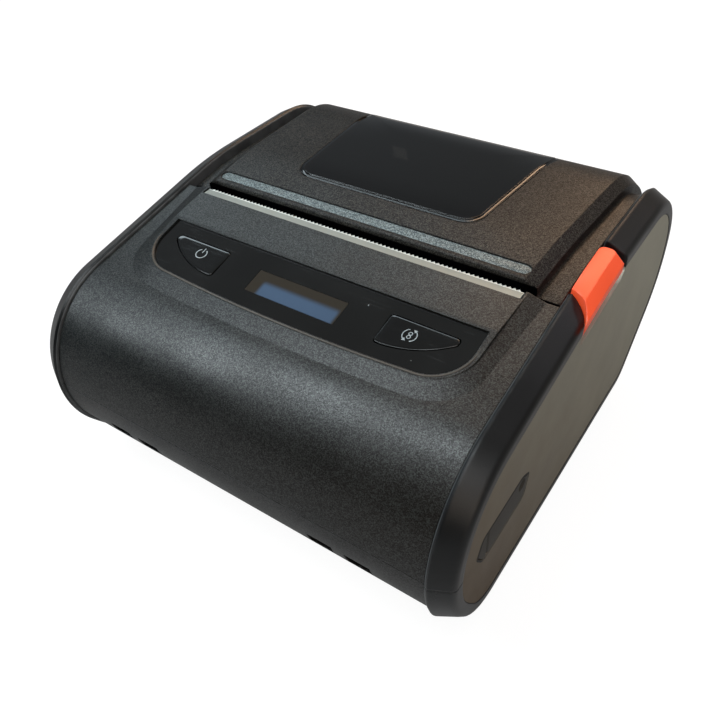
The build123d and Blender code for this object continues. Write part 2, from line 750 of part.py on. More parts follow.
def paper_cover():
    """Hinged cover: raised middle with a chamfered edge, side flanges and hinge knuckles."""
    flange = section(FLANGE_DROP, -COVER_HALF_X, COVER_HALF_X)
    flange &= block(-FAR, FAR, COVER_EAR_Y, FAR, COVER_REAR_Z, FAR)
    in_front = block(-RAISED_HALF_FRONT + 1, RAISED_HALF_FRONT - 1, -FAR, COVER_FRONT_Y, 0, FAR)
    body = (flange - in_front) + raised_middle()
    body -= section(FLANGE_DROP + FLANGE_THICK, -FAR, FAR)
    half = RAISED_HALF_FRONT - RAISED_CHAMFER - COVER_SKIN
    hollow = section(COVER_SKIN - COVER_RISE, -half, half)
    body -= hollow & block(-FAR, FAR, COVER_FRONT_Y + COVER_SKIN, FAR, 0, FAR)
    body += cover_bosses()
    near_x = CASE_KNUCKLE_X - GAP
    far_x = CASE_KNUCKLE_X + CASE_KNUCKLE_W + GAP
    knuckle = rod(KNUCKLE_R, far_x, far_x + COVER_KNUCKLE_W, HINGE_Y, HINGE_Z)
    body += both_sides(knuckle)
    body -= both_sides(rod(PIN_R + RUN_GAP, 0, FAR, HINGE_Y, HINGE_Z))
    body -= both_sides(block(near_x, far_x, HINGE_Y - 4, FAR, 0, HINGE_NOTCH_Z))
    body -= window_plug(0, SEAT_GAP, WINDOW_PROUD + WINDOW_THICK + 1)
    body -= window_plug(-WINDOW_LEDGE, 0, FAR / 8)
    groove = Pos(0, GROOVE_Y) * SlotOverall(2 * GROOVE_HALF, GROOVE_WIDTH)
    cut = extrude(groove, FAR) - section(GROOVE_DEPTH - COVER_RISE, -FAR, FAR)
    return body - cut


def raised_middle():
    """Raised middle of the cover, a little wider at the back, chamfered along both sides."""
    slope = (RAISED_HALF_REAR - RAISED_HALF_FRONT) / (RAISED_REAR_Y - COVER_FRONT_Y)
    rear_half = RAISED_HALF_FRONT + slope * (FAR - COVER_FRONT_Y)
    plan = make_face(
        Polyline(
            (-RAISED_HALF_FRONT, COVER_FRONT_Y),
            (RAISED_HALF_FRONT, COVER_FRONT_Y),
            (rear_half, FAR),
            (-rear_half, FAR),
            close=True,
        )
    )
    body = section(-COVER_RISE, -FAR, FAR) & (Pos(0, 0, COVER_REAR_Z) * extrude(plan, FAR))
    sides = body.edges().filter_by(lambda e: abs(e.center().X) > RAISED_HALF_FRONT - 0.1)
    bottom = COVER_REAR_Z + 0.1
    sides = sides.filter_by(lambda e: e.center().Z > bottom and e.center().Y > COVER_FRONT_Y + 0.1)
    return chamfer(sides, RAISED_CHAMFER_DROP, RAISED_CHAMFER)


def cover_bosses():
    """Bosses inside the cover that the platen holder's screws go into."""
    skin = section(0, -FAR, FAR) - section(FLANGE_DROP + FLANGE_THICK + BEAM_GAP, -FAR, FAR)
    result = None
    for x in (-HOLDER_SCREW_X, HOLDER_SCREW_X):
        boss = post(HOLDER_BOSS_R, x, HOLDER_SCREW_Y, BEAM_Z, FAR) & skin
        boss -= post(SMALL_SCREW_R, x, HOLDER_SCREW_Y, 0, BEAM_Z + SMALL_REACH)
        result = boss if result is None else result + boss
    return result


def window_plan(grow):
    """Plan outline of the window: wider at the back, round front corners."""
    front = WINDOW_FRONT_Y - grow
    rear = WINDOW_REAR_Y + grow
    face = make_face(
        Polyline(
            (-WINDOW_HALF_FRONT - grow, front),
            (WINDOW_HALF_FRONT + grow, front),
            (WINDOW_HALF_REAR + grow, rear),
            (-WINDOW_HALF_REAR - grow, rear),
            close=True,
        )
    )
    face = fillet(face.vertices().sort_by(Axis.Y)[:2], max(WINDOW_CORNER_R + grow, 1))
    return fillet(face.vertices().sort_by(Axis.Y)[-2:], max(WINDOW_REAR_R + grow, 1))


def window_plug(grow, sink, depth):
    """Solid in the window's place, from its proud face to a depth below that."""
    proud = COVER_RISE + WINDOW_PROUD
    layer = section(-proud - 1, -FAR, FAR) - section(depth - proud - 1 + sink, -FAR, FAR)
    return layer & extrude(Pos(0, 0, HINGE_NOTCH_Z) * window_plan(grow + sink), FAR)


def cover_window():
    """Smoked window that follows the cover's curve and stands a little proud of it."""
    proud = COVER_RISE + WINDOW_PROUD
    layer = section(-proud, -FAR, FAR) - section(WINDOW_THICK + WINDOW_PROUD - proud, -FAR, FAR)
    return layer & extrude(Pos(0, 0, HINGE_NOTCH_Z) * window_plan(0), FAR)


def platen_holder():
    """Beam under the cover's front edge with two arms that carry the platen."""
    under = section(FLANGE_DROP + FLANGE_THICK + BEAM_GAP, -FAR, FAR)
    outer = ARM_X + ARM_THICK
    beam = block(-outer, outer, BEAM_FRONT_Y, BEAM_REAR_Y, BEAM_Z, FAR) & under
    arm = block(ARM_X, outer, PLATEN_Y - ARM_R, PLATEN_Y + ARM_R, PLATEN_Z, BEAM_Z + 0.5)
    arm += rod(ARM_R, ARM_X, outer, PLATEN_Y, PLATEN_Z)
    body = beam + both_sides(arm)
    body -= rod(SHAFT_R + RUN_GAP, -FAR, FAR, PLATEN_Y, PLATEN_Z)
    for x in (-HOLDER_SCREW_X, HOLDER_SCREW_X):
        body -= post(SMALL_SCREW_R + SEAT_GAP, x, HOLDER_SCREW_Y, 0, FAR)
    return body


def platen_bushes():
    """Plain bearings that sit between the holder's arms and the roller."""
    bush = rod(BUSH_R, BUSH_INNER_X, ARM_X, PLATEN_Y, PLATEN_Z)
    bush -= rod(SHAFT_R + RUN_GAP, 0, FAR, PLATEN_Y, PLATEN_Z)
    return both_sides(bush)


def platen_shaft():
    """Steel shaft of the platen."""
    return rod(SHAFT_R, SHAFT_LEFT_X, SHAFT_RIGHT_X, PLATEN_Y, PLATEN_Z)


def platen_roller():
    """Rubber sleeve of the platen."""
    half = PAPER_WIDTH / 2
    sleeve = rod(PLATEN_R, -half, half, PLATEN_Y, PLATEN_Z)
    return sleeve - rod(SHAFT_R + PRESS_GAP, -half - 1, half + 1, PLATEN_Y, PLATEN_Z)


def involute(radius, angle):
    """Point of the involute of a base circle, unrolled through an angle in radians."""
    return (
        radius * (math.cos(angle) + angle * math.sin(angle)),
        radius * (math.sin(angle) - angle * math.cos(angle)),
    )


def gear_face(teeth, turn):
    """Face of a spur gear whose first tooth points along turn, an angle in radians."""
    pitch_r = MODULE * teeth / 2
    base_r = pitch_r * math.cos(math.radians(PRESSURE_ANGLE))
    tip_r = pitch_r + MODULE
    root_r = pitch_r - 1.25 * MODULE
    flank_start = max(base_r, root_r)
    unroll = lambda r: math.sqrt(max((r / base_r) ** 2 - 1, 0))
    polar = lambda a: a - math.atan(a)
    half = (math.pi / 2 - BACKLASH / MODULE / 2) / teeth + polar(unroll(pitch_r))
    radii = [flank_start + (tip_r - flank_start) * i / 3 for i in range(4)]
    points = []
    for i in range(teeth):
        centre = turn + 2 * math.pi * i / teeth
        side = [(r, half - polar(unroll(r))) for r in radii]
        if root_r < flank_start:
            side.insert(0, (root_r, half))
        points += [(r, centre - a) for r, a in side]
        points += [(r, centre + a) for r, a in reversed(side)]
    return make_face(Polyline(*[(r * math.cos(a), r * math.sin(a)) for r, a in points], close=True))


def gear(teeth, turn, x0, y, z, bore):
    """Spur gear on an axle along X, with its near face at x0 and its body towards -X."""
    body = slab(gear_face(teeth, turn), x0 - GEAR_WIDTH, x0)
    return Pos(0, y, z) * (body - rod(bore, -FAR, FAR, 0, 0))


def reducer_place():
    """Y and Z of the reduction gear, in mesh with both the pinion and the platen gear."""
    first = MODULE * (PINION_TEETH + REDUCER_BIG_TEETH) / 2
    second = MODULE * (REDUCER_SMALL_TEETH + PLATEN_TEETH) / 2
    dy = PLATEN_Y - MOTOR_Y
    dz = PLATEN_Z - MOTOR_Z
    reach = math.hypot(dy, dz)
    along = (first**2 - second**2 + reach**2) / (2 * reach)
    off = math.sqrt(first**2 - along**2)
    return (
        MOTOR_Y + (along * dy - off * dz) / reach,
        MOTOR_Z + (along * dz + off * dy) / reach,
    )


def mesh_turns():
    """Turn of each gear's first tooth, so that teeth of one gear face gaps of the next."""
    y, z = reducer_place()
    down = math.atan2(MOTOR_Z - z, MOTOR_Y - y)
    up = math.atan2(PLATEN_Z - z, PLATEN_Y - y)
    pinion = down + math.pi + math.pi / PINION_TEETH
    platen = up + math.pi + math.pi / PLATEN_TEETH
    return pinion, down, up, platen


def platen_gear():
    """Gear on the left end of the platen's shaft."""
    turn = mesh_turns()[3]
    return gear(PLATEN_TEETH, turn, SECOND_GEAR_X, PLATEN_Y, PLATEN_Z, SHAFT_R + PRESS_GAP)


def motor_pinion():
    """Pinion and the motor shaft that it is moulded on."""
    pinion = gear(PINION_TEETH, mesh_turns()[0], FIRST_GEAR_X, MOTOR_Y, MOTOR_Z, MOTOR_SHAFT_R)
    face_x = -CHEEK_X + CHEEK_THICK
    shaft = rod(MOTOR_SHAFT_R, FIRST_GEAR_X - GEAR_WIDTH, face_x, MOTOR_Y, MOTOR_Z)
    return pinion + shaft


def reduction_gear():
    """Two gears in one, the large one driven by the pinion, the small one driving the platen."""
    y, z = reducer_place()
    _, down, up, _ = mesh_turns()
    large = gear(REDUCER_BIG_TEETH, down, FIRST_GEAR_X, y, z, STUD_R + RUN_GAP)
    small = gear(REDUCER_SMALL_TEETH, up, SECOND_GEAR_X, y, z, STUD_R + RUN_GAP)
    hub = rod(MODULE * REDUCER_SMALL_TEETH / 2 - 1, SECOND_GEAR_X, FIRST_GEAR_X - GEAR_WIDTH, y, z)
    return large + small + (hub - rod(STUD_R + RUN_GAP, -FAR, FAR, y, z))


def gear_stud():
    """Stud riveted in the left cheek that carries the reduction gear, with its washer."""
    y, z = reducer_place()
    end = SECOND_GEAR_X - GEAR_WIDTH - SEAT_GAP
    stud = rod(STUD_R, end, -CHEEK_X - PRESS_GAP, y, z)
    collar = rod(STUD_R + 0.8, FIRST_GEAR_X + SEAT_GAP, -CHEEK_X - CHEEK_THICK, y, z)
    return stud + rod(STUD_R + 0.5, end - 0.2, end, y, z) + collar


def stepper_motor():
    """Round stepper motor on the inside of the left cheek, hollow where its shaft turns."""
    x1 = -CHEEK_X + MOTOR_LENGTH
    body = rod(MOTOR_R, -CHEEK_X, x1, MOTOR_Y, MOTOR_Z)
    body += rod(MOTOR_BOSS_R, -CHEEK_X - CHEEK_THICK, -CHEEK_X, MOTOR_Y, MOTOR_Z)
    shaft_end = -CHEEK_X + CHEEK_THICK + SEAT_GAP
    return body - rod(MOTOR_SHAFT_R + RUN_GAP, -FAR, shaft_end, MOTOR_Y, MOTOR_Z)


def cheek_plate(x0, x1):
    """Side plate of the mechanism frame, open above and behind the platen's bush."""
    foot_y = MOTOR_Y + MOTOR_R - 0.2
    plate = side_polygon(
        (
            (MOTOR_Y - MOTOR_R - 0.8, FRAME_FOOT_Z),
            (foot_y, FRAME_FOOT_Z),
            (PLATEN_Y + 4.2, PLATEN_Z - 6.5),
            (PLATEN_Y + 4.2, PLATEN_Z - 1.0),
            (BEAM_FRONT_Y - 2 * GAP, FRAME_TOP),
            (CROSS_BAR_Y - CHEEK_THICK, FRAME_TOP),
            (MOTOR_Y - MOTOR_R - 0.8, CROSS_BAR_BOTTOM),
        ),
        x0,
        x1,
    )
    seat = BUSH_R + GAP
    rise = 14.0
    lean = 4.0
    path = rod(seat, x0 - 1, x1 + 1, PLATEN_Y, PLATEN_Z)
    path += side_polygon(
        (
            (PLATEN_Y - seat, PLATEN_Z),
            (PLATEN_Y - seat, PLATEN_Z + rise),
            (PLATEN_Y + seat + lean, PLATEN_Z + rise),
            (PLATEN_Y + seat + lean, PLATEN_Z),
        ),
        x0 - 1,
        x1 + 1,
    )
    return plate - path


def mechanism_frame():
    """Folded steel frame: two cheeks, a cross bar behind the head springs and two feet."""
    outer = CHEEK_X + CHEEK_THICK
    body = both_sides(cheek_plate(CHEEK_X, outer))
    body += block(-outer, outer, CROSS_BAR_Y - CHEEK_THICK, CROSS_BAR_Y, CROSS_BAR_BOTTOM, FRAME_TOP)
    foot = block(
        FRAME_FOOT_X - FRAME_POST_R,
        outer,
        FRAME_FOOT_Y - FRAME_POST_R,
        FRAME_FOOT_Y + FRAME_POST_R,
        FRAME_FOOT_Z,
        FRAME_FOOT_Z + CHEEK_THICK,
    )
    foot += block(
        CHEEK_X,
        outer,
        MOTOR_Y,
        FRAME_FOOT_Y + FRAME_POST_R,
        FRAME_FOOT_Z,
        FRAME_FOOT_Z + 4 * CHEEK_THICK,
    )
    foot -= post(SMALL_SCREW_R + SEAT_GAP, FRAME_FOOT_X, FRAME_FOOT_Y, 0, FAR)
    body += both_sides(foot)
    body -= rod(MOTOR_BOSS_R + PRESS_GAP, -outer - 1, -CHEEK_X + 1, MOTOR_Y, MOTOR_Z)
    y, z = reducer_place()
    return body - rod(STUD_R + PRESS_GAP, -outer - 1, -CHEEK_X + 1, y, z)


def head_face_y():
    """Y of the print head's face, a paper's gap in front of the platen."""
    return PLATEN_Y - PLATEN_R - GAP


def thermal_head():
    """Ceramic plate with the row of heating dots."""
    y1 = head_face_y()
    return block(-HEAD_HALF_X, HEAD_HALF_X, y1 - HEAD_THICK, y1, HEAD_BOTTOM, HEAD_TOP)


def head_heat_sink():
    """Aluminium bar behind the ceramic plate, with sockets for the springs."""
    y1 = head_face_y() - HEAD_THICK
    body = block(-HEAD_HALF_X, HEAD_HALF_X, y1 - SINK_THICK, y1, HEAD_BOTTOM, SINK_TOP)
    socket = Cylinder(HEAD_SPRING_R + HEAD_SPRING_WIRE + SEAT_GAP, 2.0, rotation=(90, 0, 0))
    for x in (-HEAD_SPRING_X, HEAD_SPRING_X):
        body -= Pos(x, y1 - SINK_THICK, HEAD_SPRING_Z) * socket
    return body


def coil(radius, wire, length, turns):
    """Helical spring along +Y from the origin."""
    path = Helix(pitch=length / turns, height=length, radius=radius)
    start = path @ 0
    wire_face = Plane(origin=start, z_dir=path % 0) * Circle(wire)
    return Rot(-90, 0, 0) * sweep(wire_face, path=path, is_frenet=True)


def head_springs():
    """Two coil springs that press the head against the platen."""
    y1 = head_face_y() - HEAD_THICK - SINK_THICK + 1.0
    length = y1 - CROSS_BAR_Y - 2 * HEAD_SPRING_WIRE - 2 * SEAT_GAP
    spring = coil(HEAD_SPRING_R, HEAD_SPRING_WIRE, length, HEAD_SPRING_TURNS)
    y0 = CROSS_BAR_Y + HEAD_SPRING_WIRE + SEAT_GAP
    places = [Pos(x, y0, HEAD_SPRING_Z) * spring for x in (-HEAD_SPRING_X, HEAD_SPRING_X)]
    return Compound(children=places)


def roll_bin():
    """Tub that a paper roll drops into."""
    outer_r = BIN_R + BIN_WALL
    outer_x = BIN_HALF_X + BIN_WALL
    body = rod(outer_r, -outer_x, outer_x, BIN_Y, BIN_Z)
    body -= rod(BIN_R, -BIN_HALF_X, BIN_HALF_X, BIN_Y, BIN_Z)
    body -= block(-FAR, FAR, -FAR, FAR, BIN_TOP_Z, FAR)
    return body - block(-FAR, FAR, -FAR, BIN_LIP_Y, BIN_LIP_Z, FAR)


def paper_sensor():
    """Small optical sensor on the bin's front lip."""
    bottom = BIN_LIP_Z - SENSOR_HEIGHT
    y1 = BIN_Y - math.sqrt((BIN_R + BIN_WALL) ** 2 - (bottom - BIN_Z) ** 2) - SEAT_GAP
    x1 = SENSOR_X + SENSOR_WIDTH
    return block(SENSOR_X, x1, y1 - SENSOR_DEPTH, y1, bottom, BIN_LIP_Z)


def main_board():
    """Main circuit board, with a tab that carries the socket."""
    z0 = BOARD_TOP - BOARD_THICK
    body = block(-BOARD_HALF_X, BOARD_HALF_X, BOARD_FRONT_Y, BOARD_REAR_Y, z0, BOARD_TOP)
    half = SOCKET_WIDTH / 2 + 1
    body += block(0, BOARD_TAB_X, SOCKET_Y - half, SOCKET_Y + half, z0, BOARD_TOP)
    for x in (-BOARD_POST_X, BOARD_POST_X):
        for y in (BOARD_POST_FRONT_Y, BOARD_POST_REAR_Y):
            body -= post(SMALL_SCREW_R + SEAT_GAP, x, y, 0, FAR)
    return body


def board_parts():
    """Processor, memory, driver and two capacitors on the main board."""
    result = [
        block(x - w / 2, x + w / 2, y - d / 2, y + d / 2, BOARD_TOP, BOARD_TOP + CHIP_HEIGHT)
        for x, y, w, d in CHIPS
    ]
    far_x = CAPACITOR_X + CAPACITOR_PITCH
    tops = BOARD_TOP + CAPACITOR_HEIGHT
    result += [post(CAPACITOR_R, x, CAPACITOR_Y, BOARD_TOP, tops) for x in (CAPACITOR_X, far_x)]
    return Compound(children=result)


def buzzer():
    """Round buzzer on the main board, with its sound hole."""
    top = BOARD_TOP + BUZZER_HEIGHT
    body = post(BUZZER_R, BUZZER_X, BUZZER_Y, BOARD_TOP, top)
    return body - post(BUZZER_HOLE_R, BUZZER_X, BUZZER_Y, top - BUZZER_HOLE_R, top + 1)


def usb_socket():
    """Charging and data socket: a flat tube with its tongue."""
    y0 = SOCKET_Y - SOCKET_WIDTH / 2
    x0 = SOCKET_FACE_X - SOCKET_LENGTH
    shell = block(x0, SOCKET_FACE_X, y0, y0 + SOCKET_WIDTH, BOARD_TOP, BOARD_TOP + SOCKET_HEIGHT)
    ends = shell.edges().filter_by(Axis.X)
    shell = fillet(ends, SOCKET_HEIGHT / 2 - 0.2)
    middle = BOARD_TOP + SOCKET_HEIGHT / 2
    mouth = block(x0 + 2, FAR, y0 + 0.5, y0 + SOCKET_WIDTH - 0.5, BOARD_TOP + 0.4, BOARD_TOP + SOCKET_HEIGHT - 0.4)
    tongue = block(x0 + 1, SOCKET_FACE_X - 0.8, y0 + 1.2, y0 + SOCKET_WIDTH - 1.2, middle - 0.35, middle + 0.35)
    return (shell - mouth) + tongue


def battery_pack():
    """Rechargeable pack in its bay."""
    body = block(
        -BATTERY_HALF_X,
        BATTERY_HALF_X,
        BATTERY_FRONT_Y,
        BATTERY_REAR_Y,
        BATTERY_BOTTOM,
        BATTERY_TOP,
    )
    body = fillet(body.edges().filter_by(Axis.X), BATTERY_R)
    return body & section(CASING_DROP + CASING_WALL + SEAT_GAP, -FAR, FAR)


def battery_door():
    """Door under the battery: a plate in the floor's step with a pad that fills the hole."""
    x = DOOR_HALF_X - DOOR_FIT
    y0 = DOOR_FRONT_Y + DOOR_FIT
    y1 = DOOR_REAR_Y - DOOR_FIT
    body = block(-x, x, y0, y1, FLOOR_Z, FLOOR_Z + DOOR_PLATE)
    lip = DOOR_LIP
    body += block(-x + lip, x - lip, y0 + lip, y1 - lip, FLOOR_Z, INNER_FLOOR_Z)
    for sx in (-DOOR_SCREW_X, DOOR_SCREW_X):
        body -= post(SMALL_SCREW_R + SEAT_GAP, sx, DOOR_REAR_Y - DOOR_LIP / 2, 0, FAR)
        body -= post(SMALL_HEAD_R + 0.05, sx, DOOR_REAR_Y - DOOR_LIP / 2, 0, FLOOR_Z + DOOR_PLATE / 2)
    return body


def screw(x, y, z_head, head_height, head_r, shank_r, z_tip):
    """Screw along Z; the head starts at z_head and the shank ends at z_tip."""
    rise = 1 if z_tip > z_head else -1
    head_end = z_head + rise * head_height
    head = post(head_r, x, y, min(z_head, head_end), max(z_head, head_end))
    return head + post(shank_r, x, y, min(head_end, z_tip), max(head_end, z_tip))


def casing_screws():
    """Screws that hold the casing halves together, driven from below."""
    z = FLOOR_Z + GAP
    shank = SCREW_R - PRESS_GAP
    tip = SPLIT_Z + 6
    places = casing_screw_places()
    return Compound(children=[screw(x, y, z, SCREW_HEAD, SCREW_HEAD_R, shank, tip) for x, y in places])


def board_screws():
    """Screws of the main board and of the mechanism frame's feet."""
    shank = SMALL_SCREW_R - PRESS_GAP
    result = []
    for x in (-BOARD_POST_X, BOARD_POST_X):
        for y in (BOARD_POST_FRONT_Y, BOARD_POST_REAR_Y):
            tip = BOARD_TOP - SMALL_REACH
            result.append(screw(x, y, BOARD_TOP + SMALL_HEAD, SMALL_HEAD, SMALL_HEAD_R, shank, tip))
    top = FRAME_FOOT_Z + CHEEK_THICK
    for x in (-FRAME_FOOT_X, FRAME_FOOT_X):
        tip = top - SMALL_REACH
        result.append(screw(x, FRAME_FOOT_Y, top + SMALL_HEAD, SMALL_HEAD, SMALL_HEAD_R, shank, tip))
    return Compound(children=result)


def door_screws():
    """Screws of the battery door."""
    y = DOOR_REAR_Y - DOOR_LIP / 2
    shank = SMALL_SCREW_R - PRESS_GAP
    tip = INNER_FLOOR_Z - 0.2
    height = DOOR_PLATE / 2
    places = (-DOOR_SCREW_X, DOOR_SCREW_X)
    return Compound(children=[screw(x, y, FLOOR_Z, height, SMALL_HEAD_R, shank, tip) for x in places])


def holder_screws():
    """Screws that fix the platen holder under the cover."""
    shank = SMALL_SCREW_R - PRESS_GAP
    tip = BEAM_Z + SMALL_REACH - SEAT_GAP
    head_z = BEAM_Z - SMALL_HEAD
    places = (-HOLDER_SCREW_X, HOLDER_SCREW_X)
    screws = [screw(x, HOLDER_SCREW_Y, head_z, SMALL_HEAD, SMALL_HEAD_R, shank, tip) for x in places]
    return Compound(children=screws)


def foot_places():
    """Centres of the rubber feet."""
    return [(s * FOOT_X, y) for s in (1, -1) for y in (FOOT_FRONT_Y, FOOT_REAR_Y)]


def rubber_feet():
    """Four round feet in their recesses."""
    top = FLOOR_Z + FOOT_SINK
    return Compound(children=[post(FOOT_R, x, y, 0, top) for x, y in foot_places()])


def hinge_pins():
    """Two short pins through the knuckles."""
    x0 = CASE_KNUCKLE_X + 0.2
    x1 = CASE_KNUCKLE_X + CASE_KNUCKLE_W + GAP + COVER_KNUCKLE_W - 0.2
    pin = rod(PIN_R, x0, x1, HINGE_Y, HINGE_Z)
    return Compound(children=[pin, mirror(pin, Plane.YZ)])


def cap_blank():
    """Right end cap before it is split and pierced: rounded rim, wall and side-panel seat."""
    depth = CAP_OUTER_X - CAP_INNER_X
    face = Plane.YZ.offset(CAP_INNER_X) * rounded_face(OUTLINE, -CAP_PROUD)
    body = extrude(face, depth, taper=math.degrees(math.atan(CAP_SLOPE / depth)))
    body = fillet(body.faces().sort_by(Axis.X)[-1].edges(), CAP_EDGE_R)
    body = chamfer(body.faces().sort_by(Axis.X)[0].edges(), CAP_INNER_EDGE)
    body -= section(PANEL_INSET, PANEL_SEAT_X, FAR)
    return body - section(CAP_RIM, 0, CAP_WALL_X)


def slide_plan(clearance, travel):
    """Plan outline of the release slide: its nose is hollowed to fit the rim's round end."""
    front = SLIDE_FRONT_Y - clearance
    nose = SLIDE_NOSE_Y - clearance
    rear = SLIDE_REAR_Y + travel
    x0 = SLIDE_INNER_X
    x1 = SLIDE_OUTER_X
    reach = 2.0 if clearance else 0.0
    middle = (x0 + 0.72 * (x1 - x0), front + 0.38 * (nose - front))
    sides = [(x1 + reach, nose), (x1 + reach, rear), (x0 - reach, rear), (x0 - reach, front)]
    if reach:
        sides = [(x1, nose)] + sides + [(x0, front)]
    edges = Polyline(*sides) + ThreePointArc((x0, front), middle, (x1, nose))
    return make_face(edges)


def slide_notch():
    """Opening in the right cap's rim that the release slide runs in."""
    plan = slide_plan(GAP, SLIDE_TRAVEL + NOTCH_END)
    layer = section(-SLIDE_PROUD - 1, 0, FAR) - section(NOTCH_FLOOR, -1, FAR + 1)
    return layer & extrude(Pos(0, 0, SPLIT_Z + 4) * plan, FAR)


def right_cap_blank():
    """Right end cap before the split, with a collar round the port."""
    collar = block(
        CAP_INNER_X,
        CAP_WALL_X + 0.2,
        PORT_Y0 - PORT_COLLAR,
        PORT_Y1 + PORT_COLLAR,
        PORT_Z0 - PORT_COLLAR,
        PORT_Z1 + PORT_COLLAR,
    )
    return cap_blank() + (collar & section(CAP_RIM - 1, 0, FAR)) - port_tunnel()


def right_end_cap_upper():
    """Upper part of the right end cap, with the slide's notch and the spring's stop."""
    body = right_cap_blank() & block(0, FAR, -FAR, FAR, SPLIT_Z + SPLIT_GAP, FAR)
    body -= slide_notch()
    stop = block(
        CAP_INNER_X,
        CAP_WALL_X + 0.2,
        SPRING_STOP_Y,
        SPRING_STOP_Y + SPRING_STOP_THICK,
        SLIDE_SPRING_Z - 2,
        SLIDE_SPRING_Z + 2,
    )
    return body + stop


def right_end_cap_lower():
    """Lower part of the right end cap."""
    return right_cap_blank() & block(0, FAR, -FAR, FAR, -FAR, SPLIT_Z)


def left_end_cap_upper():
    """Upper part of the left end cap, with no slide and no port."""
    return mirror(cap_blank() & block(0, FAR, -FAR, FAR, SPLIT_Z + SPLIT_GAP, FAR), Plane.YZ)


def left_end_cap_lower():
    """Lower part of the left end cap."""
    return mirror(cap_blank() & block(0, FAR, -FAR, FAR, -FAR, SPLIT_Z), Plane.YZ)


def side_panel_plate():
    """Plain side panel, set into the right cap."""
    return section(PANEL_INSET + SEAT_GAP, PANEL_SEAT_X, PANEL_FACE_X)


def left_side_panel():
    """Left side panel."""
    return mirror(side_panel_plate(), Plane.YZ)


def right_side_panel():
    """Right side panel, with the flap's hole and the notch under the slide."""
    body = side_panel_plate() - slab(rounded_face(FLAP, -FLAP_FIT), 0, FAR)
    low, high = flap_pin_ends()
    bore = post(FLAP_PIN_R + RUN_GAP, FLAP_HINGE_X, FLAP_HINGE_Y, low - SEAT_GAP, high + SEAT_GAP)
    return body - side_polygon(PANEL_NOTCH, 0, FAR) - bore


def flap_pin_ends():
    """Lowest and highest Z of the flap's hinge pin."""
    ends = [z for y, z in flap_points_at_hinge()]
    return min(ends) - FLAP_PIN_REACH, max(ends) + FLAP_PIN_REACH


def flap_points_at_hinge():
    """Points (Y, Z) where the flap's outline crosses its hinge line."""
    cut = slab(rounded_face(FLAP), 0, 1) & block(0, 1, FLAP_HINGE_Y - SEAT_GAP, FLAP_HINGE_Y, 0, FAR)
    box = cut.bounding_box()
    return (FLAP_HINGE_Y, box.min.Z), (FLAP_HINGE_Y, box.max.Z)


def port_flap():
    """Rubber flap over the socket: round front edge on a hinge pin, and a nail recess."""
    inner_x = PANEL_FACE_X - FLAP_THICK
    body = slab(rounded_face(FLAP), inner_x, PANEL_FACE_X) & block(0, FAR, FLAP_HINGE_Y, FAR, 0, FAR)
    low, high = (z for _, z in flap_points_at_hinge())
    body += post(FLAP_THICK / 2, FLAP_HINGE_X, FLAP_HINGE_Y, low, high)
    body -= Pos(PANEL_FACE_X + NAIL_R / 2, NAIL_Y, NAIL_Z) * Sphere(NAIL_R)
    return body + post(FLAP_PIN_R, FLAP_HINGE_X, FLAP_HINGE_Y, *flap_pin_ends())


def flap_anchor():
    """Fixed front end of the flap, bonded to the cap's wall inside the same hole."""
    rear_y = FLAP_HINGE_Y - FLAP_THICK / 2 - GAP
    return slab(rounded_face(FLAP), PANEL_SEAT_X, PANEL_FACE_X) & block(0, FAR, -FAR, rear_y, 0, FAR)


def release_slide():
    """Orange slide: thumb piece in the rim, web in the cap's pocket, arm towards the platen."""
    layer = section(-SLIDE_PROUD, 0, FAR) - section(SLIDE_THICK - SLIDE_PROUD, -1, FAR + 1)
    knob = layer & extrude(Pos(0, 0, SPLIT_Z + 4) * slide_plan(0, 0), FAR)
    outer = knob.edges().filter_by(lambda e: e.center().X > SLIDE_OUTER_X - 0.01)
    outer = outer.filter_by(lambda e: e.length > 6).sort_by(Axis.Z)[-1]
    knob = chamfer(outer, SLIDE_CHAMFER)
    rear = knob.faces().sort_by(Axis.Y)[-1]
    upright = rear.edges().filter_by(lambda e: abs(e.tangent_at(0).Z) > 0.5)
    knob = fillet(upright, SLIDE_CORNER_R)
    web = block(
        SLIDE_WEB_X,
        SLIDE_WEB_X + SLIDE_WEB_THICK,
        SLIDE_WEB_FRONT,
        SLIDE_WEB_REAR,
        SLIDE_ARM_BOTTOM,
        PANEL_TOP_Z + 1,
    ) & section(SLIDE_THICK - SLIDE_PROUD - 0.2, 0, FAR)
    arm = block(
        SLIDE_ARM_TIP_X,
        SLIDE_WEB_X + 0.5,
        SLIDE_ARM_FRONT,
        SLIDE_ARM_REAR,
        SLIDE_ARM_BOTTOM,
        SLIDE_ARM_TOP,
    )
    bridge = block(
        SLIDE_WEB_X,
        SLIDE_WEB_X + SLIDE_WEB_THICK,
        SLIDE_ARM_FRONT,
        0,
        SLIDE_ARM_BOTTOM,
        SLIDE_ARM_TOP,
    )
    ramp = side_polygon(
        (
            (SLIDE_ARM_REAR + 0.1, SLIDE_ARM_BOTTOM + 0.4),
            (SLIDE_ARM_REAR + 0.1, FAR),
            (SLIDE_ARM_REAR - 3.2, FAR),
            (SLIDE_ARM_REAR - 3.2, SLIDE_ARM_TOP),
        ),
        SLIDE_ARM_TIP_X - 1,
        CASING_HALF_X - END_WALL,
    )
    return knob + web + bridge + (arm - ramp)


def slide_spring():
    """Coil spring that returns the release slide."""
    y0 = SLIDE_WEB_REAR + SLIDE_SPRING_WIRE + SEAT_GAP
    length = SPRING_STOP_Y - SLIDE_SPRING_WIRE - SEAT_GAP - y0
    spring = coil(SLIDE_SPRING_R, SLIDE_SPRING_WIRE, length, SLIDE_SPRING_TURNS)
    x = SLIDE_WEB_X + SLIDE_WEB_THICK / 2
    return Pos(x, y0, SLIDE_SPRING_Z) * spring


